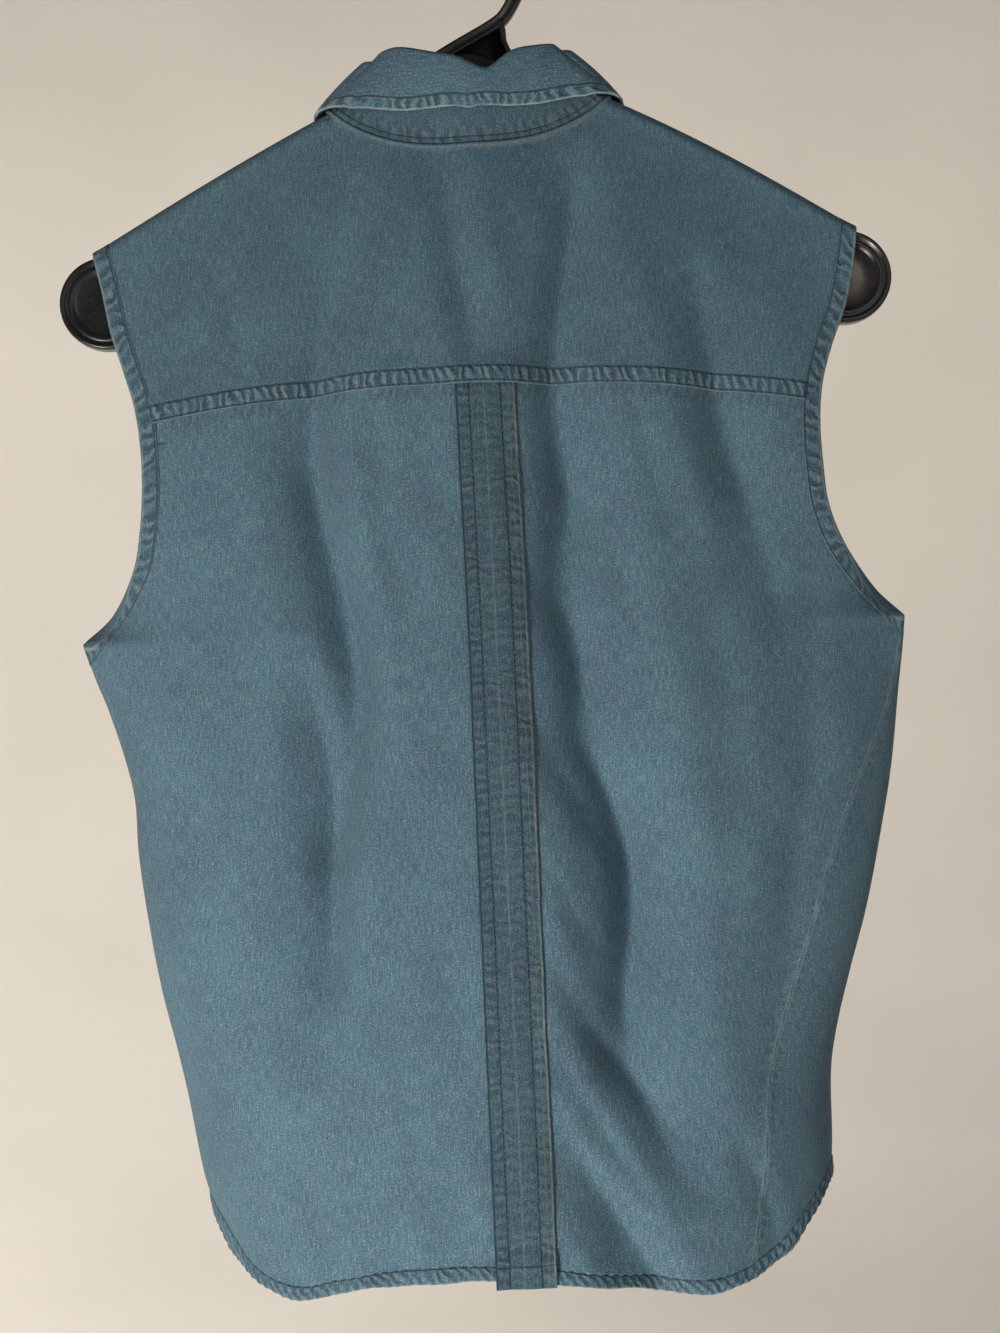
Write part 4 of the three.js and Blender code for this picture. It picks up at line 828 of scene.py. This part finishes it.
def hemTube(face, start, end, count):
    across = np.linspace(start, end, count)
    topZ, lowZ = hemTopZ(face, across) - 0.1, hemRead[face](across)
    side = np.sign(across)
    x = across * halfWidth(topZ, side)
    top = faceSpot(face, x, topZ)
    low = faceSpot(face, across * halfWidth(lowZ, side), lowZ)
    normal = clothNormal(x, face * pathOf(shoulderZ(x) - topZ))
    run = runLength(top, 0)
    # a narrow hem rolls more in one place than in another
    sway = 0.6 * np.sin(run / 27 + 1.2) + 0.5 * np.sin(run / 11.3) + 0.3 * np.sin(run / 4.6 + 2)
    uneven = 1 + hem["uneven"] * sway
    drop = (low - top) * uneven[:, None]
    turn = np.linspace(0, 2 * np.pi, hem["around"], endpoint=False)
    down = 0.5 - 0.5 * np.cos(turn)
    off = np.sin(turn) * (0.62 + 0.38 * down)
    slant = 2 * np.pi * (run[:, None] / hem["pitch"] + 0.9 * down * np.sign(off + 1e-9))
    # the pucker's own pitch drifts along the edge
    slant = slant + 0.9 * np.sin(run[:, None] / 17) + 0.6 * np.sin(run[:, None] / 7.3)
    rope = hem["pucker"] * np.sin(slant) * (0.35 + 0.65 * down)
    bulge = off * hem["thick"] / 2 * uneven[:, None] + np.where(off > 0, rope, -rope * 0.5) + hem["curl"] * down**2
    points = top[:, None] + drop[:, None] * down[:, None] + normal[:, None] * bulge[..., None]
    below = np.broadcast_to(8 - 8 * down, bulge.shape)
    run = np.broadcast_to(run[:, None], bulge.shape)
    return gridMesh(points, marksOf((run + 1500, below + 10 * (off > 0)), below, run, below), wrap=True)


hemBack = addPiece("hemBack", hemTube(1, -0.998, 0.998, 640), hemFinish, ["hem_back"])
hemShare = (placket["wide"] / 2 + placket["gap"]) / garment["hemHalf"]
hemLeft = addPiece("hemFrontLeft", hemTube(-1, -0.998, -hemShare, 300), hemFinish, ["hem_front_left"])
hemRight = addPiece("hemFrontRight", hemTube(-1, hemShare, 0.998, 300), hemFinish, ["hem_front_right"])
print("hems made")

# The collar round the neck: degrees from the middle of the back, how far it leans inwards as it rises,
# its fold above the neck seam, and where the leaf's edge falls (across, path, distance off the cloth)
collarShape = [
    (0, 0, 48, 0, 46, 8), (24, 0.06, 49, 34, 31.5, 7.5), (46, 0.34, 44, 61, 14, 6), (62, 0.62, 37, 75, 7, 4.5),
    (78, 0.9, 34, 82, 2, 3.6), (92, 1.05, 33, 85, -4, 3.2), (110, 0.8, 31, 88, -17, 3.2),
    (130, 0.55, 30, 88, -38, 3.2), (150, 0.35, 29, 80, -66, 3.4), (165, 0.2, 29, 64, -92, 3.8),
    (175, 0.15, 29, 46, -108, 4.2),
]
collar = {
    "standHeight": 28.0, "leafEnd": 175.0, "standEnd": 187.0, "fold": 2.4, "clear": 3.0, "leafWall": 1.5,
    "standWall": 1.3, "stitchIn": 7.0, "standCut": (0.36, 0.03), "leafCut": (0.45, 0.06), "leafArea": 0.019,
    # the leaf sinks where it rests on the hanger's neck and stands a little higher on its left: depth,
    # degrees from the middle of the back, reach in degrees
    "dips": [(8.5, 7, 8), (-3.2, -30, 17)],
}
collarRead = [reader(collarShape, 0, column) for column in range(1, 6)]


def unit(vectors):
    return vectors / np.linalg.norm(vectors, axis=-1, keepdims=True)


def neckSpot(turn):
    a = np.radians(turn)
    x = neckHalf * np.sin(a)
    back = pathOf(np.clip(shoulderZ(x) - neckBackZ(x), 0, None))
    front = -pathOf(np.clip(shoulderZ(x) - neckFrontZ(x), 0, None))
    return clothPoint(x, np.where(np.cos(a) > 0, back, front))


def collarSection(turn):
    a = np.radians(turn)
    lean, fold, edgeX, edgePath, edgeOff = [read(np.clip(np.abs(turn), 0, collar["leafEnd"])) for read in collarRead]
    inward = np.clip(0.15 * np.cos(a), 0, None) + np.clip(0.3 * np.cos(a), None, 0)
    upward = unit(np.stack([-np.sin(a) * lean, inward * lean, np.ones_like(a)], -1))
    outward = unit(np.cross(neckSpot(turn + 0.5) - neckSpot(turn - 0.5), upward))
    dip = sum(deep * np.exp(-(((turn - middle) / reach) ** 2)) for deep, middle, reach in collar["dips"])
    laid = clothSpot(np.where(turn < 0, -1, 1) * edgeX, edgePath, edgeOff)
    lap = np.zeros_like(upward)
    lap[..., 1] = -garment["lapDepth"] * smooth((turn - 150) / 20)
    return neckSpot(turn) + lap, upward, outward, fold - dip, laid


def clearOfCloth(points, least):
    x, y, z = [points[..., k] for k in range(3)]
    face = np.where(y > 0, -1, 1)
    ridgeZ = shoulderZ(x) - ridge
    cloth = clothPoint(x, face * pathOf(np.clip(shoulderZ(x) - z, 0, None)))[..., 1]
    beside = -face * np.maximum(-face * y, -face * cloth + least)
    rise = z - ridgeZ
    reach = np.hypot(y, rise)
    short = np.clip(ridge + least * np.hypot(1, garment["shoulderSlope"]) - reach, 0, None)
    over = np.stack([x, y + y / reach * short, z + rise / reach * short], -1)
    return np.where((z < ridgeZ)[..., None], np.stack([x, beside, z], -1), over)


def standGrid():
    turns = np.linspace(-collar["standEnd"], collar["standEnd"], 290)
    seam, upward, _, fold, _ = collarSection(turns)
    height = np.minimum(collar["standHeight"], fold - 5)
    rise = mix(-1.6, height, np.linspace(0, 1, 15)[:, None])
    points = seam + upward * rise[..., None]
    lapped = clearOfCloth(points, 1.2)  # its turned edge lies over the yoke and the fronts
    points = mix(points, lapped, (1 - smooth((rise - 2) / 6))[..., None])
    along = np.broadcast_to(runLength(points, 1)[0], rise.shape)
    return gridMesh(points, marksOf((along + 2000, rise), rise + 1.6, along, height - rise))


standFinish = chambray(
    "chambrayStand",
    rows=[(0, 2.6, 0.9, 0.38), (0, 6.0, 0.8, 0.3)],
    puckers=[(0, 2.8, 11.0, 6.5, 0.2, 0.2)],
    worn=[(0, -0.6, 0.8, 0.15)],
    shade=0.82,
)
standPiece = addPiece("collarStand", standGrid(), standFinish, ["collar_stand"], collar["standWall"])


def leafGrid():
    turns = np.linspace(-collar["leafEnd"], collar["leafEnd"], 330)
    seam, upward, outward, fold, laid = collarSection(turns)
    seamFoot = np.minimum(collar["standHeight"], fold - 5) + 1.4
    top = seam + upward * (fold - collar["fold"])[:, None]
    rows = [mix(seam + upward * seamFoot[:, None], top, share) for share in np.linspace(0, 1, 5)[:-1]]
    for turn in np.linspace(0, np.pi, 11):
        rows.append(top + collar["fold"] * (outward * (1 - np.cos(turn)) + upward * np.sin(turn)))
    outer = rows[-1]
    run = runLength(outer, 0)
    for share in np.linspace(0, 1, 31)[1:]:
        bow = outward * (4 * share * (1 - share) + 0.35 * share * np.sin(run / 9.0 + 2 * share))[:, None]
        rows.append(clearOfCloth(mix(outer, laid, share) + bow, collar["clear"]))
    points = np.array(rows)
    down = runLength(points, 0)
    toEnd = runLength(points, 1)
    toEnd = np.minimum(toEnd, toEnd[:, -1:] - toEnd)
    along = np.broadcast_to(run, down.shape)
    edge = down[-1:] - down
    cloth = (2600 - edge, along)
    edge = np.where(np.arange(len(rows))[:, None] < 14, 99, edge)  # the stitches are on the falling leaf alone
    return gridMesh(points, marksOf(cloth, edge, along, toEnd))


leafFinish = chambray(
    "chambrayCollar",
    rows=[(0, collar["stitchIn"], 0.9, 0.38), (2, collar["stitchIn"], 0.9, 0.3)],
    puckers=[(0, 0.9, 6.4, 5.0, 0.12, 0.36), (2, 0.8, 6.6, 5.6, 0.2, 0.2)],
    worn=[(0, -0.6, 0.7, 0.5), (2, -0.6, 0.7, 0.45)],
    shade=1.0,
)
leafPiece = addPiece("collarLeaf", leafGrid(), leafFinish, ["collar_leaf"], collar["leafWall"])
print("collar made")

# Each stitch is a short grain of thread lying in its groove.
stitch = {"pitch": 3.0, "long": 2.3, "wide": 0.44, "high": 0.3, "dark": "#2f4452", "pale": "#587286",
          "roughness": 0.7}


def threadMaterial():  # spun polyester thread: matt, a little darker where it twists
    finish, tree = blankFinish("sewingThread")
    place = addNode(tree, "TexCoord").outputs["Object"]
    noise = addNode(tree, "TexNoise", {"Vector": place, "Scale": 900.0, "Detail": 1.0})
    colour = addNode(tree, "ValToRGB", [noise])
    colour.color_ramp.elements[0].color = linear(stitch["dark"])
    colour.color_ramp.elements[1].color = linear(stitch["pale"])
    shader = addNode(tree, "BsdfPrincipled", {"Base Color": colour, "Roughness": stitch["roughness"]})
    addNode(tree, "OutputMaterial", [shader])
    return finish


threadFinish = threadMaterial()


def sewRow(bm, spots, lift=0.5):  # spots gives points and normals along a row, in mm
    points, normals = spots
    run = runLength(points, 0)
    places = np.arange(1.2, run[-1] - 1.2, stitch["pitch"])
    at = [np.interp(places, run, points[:, k]) for k in range(3)]
    ahead = [np.interp(places + 0.6, run, points[:, k]) for k in range(3)]
    facing = [np.interp(places, run, normals[:, k]) for k in range(3)]
    few = bmesh.new()
    for k, (spot, nextSpot, normal) in enumerate(zip(np.array(at).T, np.array(ahead).T, np.array(facing).T)):
        normal = Vector(normal).normalized()
        along = Vector(nextSpot - spot).normalized()
        aside = normal.cross(along).normalized()
        size = (along * stitch["long"] / 2, aside * stitch["wide"] / 2, along.cross(aside) * stitch["high"] / 2)
        middle = Vector(spot) + normal * lift
        turned = Matrix([[*[axis[row] for axis in size], middle[row]] for row in range(3)] + [[0, 0, 0, 1]])
        scaled = Matrix.Scale(mm, 4) @ turned
        bmesh.ops.create_uvsphere(few, u_segments=6, v_segments=4, radius=1, matrix=scaled)
        if k % 30 == 29 or k == len(places) - 1:  # a small mesh at a time is quicker
            joinMesh(bm, few)
            few = bmesh.new()


def onCloth(x, path, out=0.0):
    return clothSpot(x, path, out), clothNormal(x, path)


def sewAll():
    bm = bmesh.new()
    across = np.linspace(-0.985, 0.985, 400)
    for above in (1.3, 9.6):  # the yoke's two rows
        x = across * np.where(across < 0, abs(yokeEdgeX(-1, 90.0)), yokeEdgeX(1, 90.0))
        sewRow(bm, onCloth(x, pathOf(shoulderZ(x) - yokeSeamZ(across)) - above, yokeLift(x, above)), 0.42)
    z = np.linspace(-263, -724, 500)
    for side in (-1, 1):  # the pleat
        x = pleatX(z) + side * (pleat["wide"] / 2 - pleat["rowsIn"])
        sewRow(bm, onCloth(x, pathOf(shoulderZ(x) - z), pleat["off"] - 0.35), 0.5)
    z = np.linspace(-163, -722, 500)
    for side in (-1, 1):  # the placket
        x = np.full_like(z, side * (placket["wide"] / 2 - placket["rowsIn"]))
        sewRow(bm, onCloth(x, -pathOf(shoulderZ(x) - z), placket["off"] - 0.3), 0.5)
    for (face, side), (edge, row) in armholes.items():  # the armhole edges
        spot = mix(row, edge, 0.13)[armShare < 0.97]
        z = np.minimum(spot[:, 1], shoulderZ(spot[:, 0]))
        sewRow(bm, onCloth(spot[:, 0], face * pathOf(shoulderZ(spot[:, 0]) - z), armholeBand["off"]), 0.85)
    return bm


addPiece("sewnRows", sewAll(), threadFinish)
print("stitches made")

# The hanger is injection moulded and glossy, with round ends.
hanger = {
    "armBow": 1.5, "clear": 1.92, "armDeep": 25.0, "armHalf": 6.3, "armBend": 5.6, "disc": (204.8, -202.8),
    "hookRadius": 31.0, "hookArc": (-27, 196), "hookWide": 7.6, "hookDeep": 8.4, "hookTip": 0.45, "groove": 1.2,
    "webThick": 3.4, "flangeWide": 3.6,
    "discRings": [(0, 3.4), (9, 3.5), (16, 3.7), (17.6, 4.2), (18.8, 5.3), (19.8, 5.5), (20.7, 5.1), (21.5, 4.75),
                  (22.2, 5.3), (23, 6.2), (24, 6.4), (24.9, 5.9), (25.45, 4.8), (25.6, 3)],
    "hookFoot": [(-48, -93), (-30, -81.5), (-12, -70.6), (2, -63), (13, -57), (21, -51.2)],
    "web": [(20, -52), (20.5, -66), (24, -74), (30, -87), (-26, -87), (-10, -69.5)],
    "flange": [(18.5, -53), (20.2, -59), (20.6, -65), (24, -73), (32, -88)],
}


def armRings():
    x = np.linspace(-hanger["disc"][0], hanger["disc"][0], 121)
    along = np.clip((np.abs(x) - 20) / 185, 0, 1)
    line = garment["shoulderTop"] - garment["shoulderSlope"] * np.hypot(x, garment["shoulderRound"])
    top = line + hanger["armBow"] * np.sin(np.pi * along) - hanger["clear"]
    bottom = top - hanger["armDeep"] - 4 * np.clip(1 - np.abs(x) / 40, 0, 1)
    a = np.linspace(0, 2 * np.pi, 24, endpoint=False)
    y = hanger["armHalf"] * np.sin(a)
    up, bend = np.cos(a), hanger["armBend"]
    z = np.where(up >= 0, top[:, None] - bend + bend * up, bottom[:, None] + bend + bend * up)
    return np.stack(np.broadcast_arrays(x[:, None], y, z), -1)


def barRings(line, wide, deep, groove=0.0, tip=1.0):
    line = np.array(line, float)
    run = np.concatenate([[0], np.cumsum(np.linalg.norm(np.diff(line, axis=0), axis=1))])
    even = np.linspace(0, run[-1], max(8, round(run[-1] / 1.6)))
    read = [reader(list(zip(run, line[:, k])), 0, 1) for k in (0, 1)]
    spots = np.stack([read[0](even), read[1](even)], -1)
    along = unit(np.gradient(spots, axis=0))
    aside = np.stack([along[:, 1], -along[:, 0]], -1)
    a = np.linspace(0, 2 * np.pi, 32, endpoint=False) + 0.05
    share = np.where(even > run[-1] - 3.5, mix(1, tip, smooth((even - run[-1] + 3.5) / 3.5)), 1)[:, None]
    squareX = np.sign(np.cos(a)) * np.abs(np.cos(a)) ** 0.55
    squareY = np.sign(np.sin(a)) * np.abs(np.sin(a)) ** 0.55
    dent = groove * np.exp(-((squareX / 0.42) ** 2)) * np.sign(squareY)
    x = spots[:, :1] + aside[:, :1] * squareX * share * wide / 2
    z = spots[:, 1:] + aside[:, 1:] * squareX * share * wide / 2
    y = np.broadcast_to((squareY * deep / 2 - dent) * share, x.shape)
    return np.stack([x, y, z], -1)


def discMesh(side):
    rings = hanger["discRings"]
    profile = [(r, -y) for r, y in rings] + [(r, y) for r, y in reversed(rings)]
    x, z = side * hanger["disc"][0], hanger["disc"][1]
    spots = [((x + r) * mm, y * mm, z * mm) for r, y in profile]
    return turnedMesh(spots, (x * mm, 0, z * mm), (0, 1, 0), 96, 1e-6)


def webMesh():
    bm = bmesh.new()
    thick = hanger["webThick"] * mm
    bm.faces.new([bm.verts.new((x * mm, -thick / 2, z * mm)) for x, z in hanger["web"]])
    made = bmesh.ops.extrude_face_region(bm, geom=bm.faces[:])["geom"]
    bmesh.ops.translate(bm, vec=(0, thick, 0), verts=[v for v in made if isinstance(v, bmesh.types.BMVert)])
    bmesh.ops.recalc_face_normals(bm, faces=bm.faces)
    return bm


def mouldedPlastic():  # black polypropylene from a polished mould: glossy, faintly wavy, with fine dust
    finish, tree = blankFinish("mouldedPlastic")
    place = addNode(tree, "TexCoord").outputs["Object"]
    sink = addNode(tree, "TexNoise", {"Vector": place, "Scale": 70.0, "Detail": 1.0})
    dust = addNode(tree, "TexNoise", {"Vector": place, "Scale": 1500.0, "Detail": 2.0})
    colour = addNode(tree, "Mix", {0: addNode(tree, "MapRange", [dust, 0.56, 0.72, 0.0, 0.25]),
                                   6: linear("#15161a"), 7: linear("#4a4d52")}, data_type="RGBA")
    rough = addNode(tree, "MapRange", [sink, 0.3, 0.7, 0.22, 0.34])
    height = addNode(tree, "Math", [sink, 0.00012], operation="MULTIPLY")
    bump = addNode(tree, "Bump", {"Strength": 1.0, "Distance": 1.0, "Height": height})
    shader = addNode(tree, "BsdfPrincipled", {
        "Base Color": colour.outputs[2], "Roughness": rough, "IOR": 1.49, "Normal": bump})
    addNode(tree, "OutputMaterial", [shader])
    return finish


def hangerMesh():
    arc = [math.radians(mix(*hanger["hookArc"], k / 40)) for k in range(41)]
    radius = hanger["hookRadius"]
    hook = hanger["hookFoot"] + [
        (radius * math.cos(a), hanger["hookWide"] / 2 - radius + radius * math.sin(a)) for a in arc[1:]]
    joined = bmesh.new()
    bars = [
        barRings(hook, hanger["hookWide"], hanger["hookDeep"], hanger["groove"], hanger["hookTip"]),
        barRings(hanger["flange"], hanger["flangeWide"], hanger["hookDeep"]),
    ]
    for part in [gridMesh(armRings(), {}, wrap=True), discMesh(-1), discMesh(1), webMesh(),
                 *[gridMesh(rings, {}, wrap=True) for rings in bars]]:
        joinMesh(joined, part)
    return joined


plasticFinish = mouldedPlastic()
hangerPiece = addPiece("topHanger", hangerMesh(), plasticFinish, ["hanger"])
print("hanger made")

# Four-hole shirt buttons with a raised rim
button = {
    "radius": 5.6, "thick": 2.4, "pitch": 76.0, "count": 7, "first": -222.0, "hole": 0.75, "holeOut": 1.35,
    "off": 2.85, "turn": 0.3,  # how far each stands off the cloth, and is turned past the one above it
    "collar": {"up": 14, "off": 1.65, "facing": (0, 0.97, 0.22)},
}
thread = {"bar": (1.7, 0.35, 0.3), "barOff": 1.85, "shank": 1.1, "shankLong": 1.3, "shankOff": -0.2}


def shellMaterial():  # polyester made to look like shell: creamy bands, a clear gloss
    finish, tree = blankFinish("shellButton")
    place = addNode(tree, "TexCoord").outputs["Object"]
    wavy = addNode(tree, "TexNoise", {"Vector": place, "Scale": 260.0, "Detail": 2.0, "Distortion": 1.2})
    colour = addNode(tree, "ValToRGB", [wavy])
    colour.color_ramp.elements[0].color = linear("#c3b79e")
    colour.color_ramp.elements[0].position = 0.35
    colour.color_ramp.elements[1].color = linear("#ece7da")
    colour.color_ramp.elements[1].position = 0.62
    shader = addNode(tree, "BsdfPrincipled", {
        "Base Color": colour, "Roughness": 0.28, "Coat Weight": 0.4, "Coat Roughness": 0.1})
    addNode(tree, "OutputMaterial", [shader])
    return finish


def oneButton():  # lies on the origin, its face towards +Z, in millimetres
    r, thick = button["radius"], button["thick"]
    profile = [(0, 0), (r - 0.9, 0), (r - 0.3, 0.3), (r, 0.8), (r, 1.5), (r - 0.25, 2.1), (r - 0.8, thick),
               (r - 1.3, 2.25), (r - 1.8, 1.85), (r - 2.3, 1.75), (0, 1.7)]
    return turnedMesh([(x, 0, z) for x, z in profile], (0, 0, 0), (0, 0, 1), 40, 1e-4)


def cutHoles(bm):
    mesh, cutter = bpy.data.meshes.new("blank"), bpy.data.meshes.new("drill")
    bm.to_mesh(mesh)
    bm.free()
    drill = bmesh.new()
    for k in range(4):
        a = math.pi / 4 + k * math.pi / 2
        spot = (button["holeOut"] * math.cos(a), button["holeOut"] * math.sin(a), 1)
        bmesh.ops.create_cone(drill, cap_ends=True, segments=14, radius1=button["hole"], radius2=button["hole"],
                              depth=6, matrix=Matrix.Translation(spot))
    drill.to_mesh(cutter)
    drill.free()
    blank, tool = bpy.data.objects.new("blank", mesh), bpy.data.objects.new("drill", cutter)
    for obj in (blank, tool):
        bpy.context.collection.objects.link(obj)
    cut = blank.modifiers.new("holes", "BOOLEAN")
    cut.operation, cut.solver, cut.object = "DIFFERENCE", "EXACT", tool
    bpy.context.view_layer.update()
    done = bpy.data.meshes.new_from_object(blank.evaluated_get(bpy.context.evaluated_depsgraph_get()))
    for obj in (blank, tool):
        bpy.data.objects.remove(obj)
    return done


def seatMatrix(spot, normal, turn=0.0):
    aim = Vector(normal).to_track_quat("Z", "Y").to_matrix().to_4x4()
    return Matrix.Scale(mm, 4) @ Matrix.Translation(Vector(spot)) @ aim @ Matrix.Rotation(turn, 4, "Z")


shellFinish = shellMaterial()
buttonMesh = cutHoles(oneButton())
threads = bmesh.new()
seats = []
for k in range(button["count"]):
    z = button["first"] - k * button["pitch"]
    x, path = np.float64(0), -pathOf(shoulderZ(np.float64(0)) - z)
    seats.append((f"button_{k + 1}", clothSpot(x, path, button["off"]), clothNormal(x, path)))
seam, upward, *_ = collarSection(np.array([-180.0]))
atCollar = button["collar"]
seats.append(("collar_button", seam[0] + upward[0] * atCollar["up"] + np.array([0, atCollar["off"], 0]),
              np.array(atCollar["facing"])))
for k, (node, spot, normal) in enumerate(seats):
    place = seatMatrix(spot, normal, button["turn"] * k)
    bm = bmesh.new()
    bm.from_mesh(buttonMesh)
    bmesh.ops.transform(bm, matrix=place, verts=bm.verts)
    bmesh.ops.recalc_face_normals(bm, faces=bm.faces)
    addPiece(f"shirtButton{k + 1}", bm, shellFinish, [node])
    for turn in (0, math.pi / 2):  # two bars of thread, and the shank under the button
        bar = place @ Matrix.Rotation(math.pi / 4 + turn, 4, "Z") @ Matrix.Translation((0, 0, thread["barOff"]))
        bmesh.ops.create_uvsphere(threads, u_segments=8, v_segments=6, radius=1,
                                  matrix=bar @ Matrix.Diagonal((*thread["bar"], 1)))
    bmesh.ops.create_cone(threads, cap_ends=True, segments=12, radius1=thread["shank"], radius2=thread["shank"],
                          depth=thread["shankLong"], matrix=place @ Matrix.Translation((0, 0, thread["shankOff"])))
addPiece("buttonThread", threads, threadFinish)
print("buttons made")

# A pale bowl of floor and wall, lights and the camera, in metres
studio = {
    "floor": -1.5, "flat": 2.2, "radius": 4.2, "height": 3.6, "colour": "#e1ddd6",
    "lights": {
        "key": {"at": (-0.78, -1.2, -1.26), "to": (0.05, 0, -0.52), "size": 0.36, "power": 26, "colour": "#fff7ee"},
        "fill": {"at": (1.5, -2.3, -0.7), "to": (0, 0, -0.45), "size": 2.0, "power": 7, "colour": "#eef3ff"},
        "window": {"at": (0.78, -2.6, 0.34), "to": (0.1, 0, -0.3), "size": 0.62, "power": 4.5, "colour": "#ffeedb"},
        "wall": {"at": (-1.2, 0.45, -0.5), "to": (-0.3, 4.2, -0.2), "size": 1.6, "power": 84, "colour": "#fff8f0"},
    },
    "world": 0.15, "camera": (0.0059, -1.1, -0.4114), "lens": 53.47, "roll": 2.1,
}


def matt(name, colour):  # painted plaster: flat, with a slow unevenness
    finish, tree = blankFinish(name)
    place = addNode(tree, "TexCoord").outputs["Object"]
    noise = addNode(tree, "TexNoise", {"Vector": place, "Scale": 2.0, "Detail": 2.0})
    tone = addNode(tree, "MapRange", [noise, 0.3, 0.7, 0.97, 1.03])
    tinted = addNode(tree, "HueSaturation", {"Value": tone, "Color": linear(colour)})
    shader = addNode(tree, "BsdfPrincipled", {"Base Color": tinted, "Roughness": 0.95})
    addNode(tree, "OutputMaterial", [shader])
    return finish


def studioBowl():
    bend = studio["radius"] - studio["flat"]
    low = studio["floor"]
    profile = [(0, low), (studio["flat"], low)]
    profile += [(studio["flat"] + bend * math.sin(a), low + bend * (1 - math.cos(a)))
                for a in np.linspace(0, math.pi / 2, 17)[1:]]
    profile.append((studio["radius"], low + studio["height"]))
    bm = turnedMesh([(r, 0, z) for r, z in profile], (0, 0, 0), (0, 0, 1), 96, 1e-5)
    bmesh.ops.reverse_faces(bm, faces=bm.faces)
    return placed("studioBowl", bm, matt("plasterBowl", studio["colour"]))


studioBowl()
for name, lamp in studio["lights"].items():
    light = bpy.data.lights.new(name, "AREA")
    light.shape, light.size, light.energy = "DISK", lamp["size"], lamp["power"]
    light.color = linear(lamp["colour"])[:3]
    holder = bpy.data.objects.new(name, light)
    holder.location = lamp["at"]
    holder.rotation_euler = (Vector(lamp["to"]) - Vector(lamp["at"])).to_track_quat("-Z", "Y").to_euler()
    holder.visible_camera = False
    bpy.context.collection.objects.link(holder)

world = bpy.data.worlds.new("studioLight")
world.use_nodes = True
world.node_tree.nodes["Background"].inputs["Color"].default_value = linear("#eceef0")
world.node_tree.nodes["Background"].inputs["Strength"].default_value = studio["world"]
bpy.context.scene.world = world
bpy.context.scene.view_settings.view_transform = "Standard"

lens = bpy.data.cameras.new("photoView")
lens.sensor_width, lens.lens, lens.clip_start = 36, studio["lens"], 0.05
camera = bpy.data.objects.new("photoView", lens)
camera.matrix_world = (
    Matrix.Translation(studio["camera"]) @ Matrix.Rotation(math.pi / 2, 4, "X")
    @ Matrix.Rotation(-math.radians(studio["roll"]), 4, "Z")
)
bpy.context.collection.objects.link(camera)
bpy.context.scene.camera = camera
print("studio made")
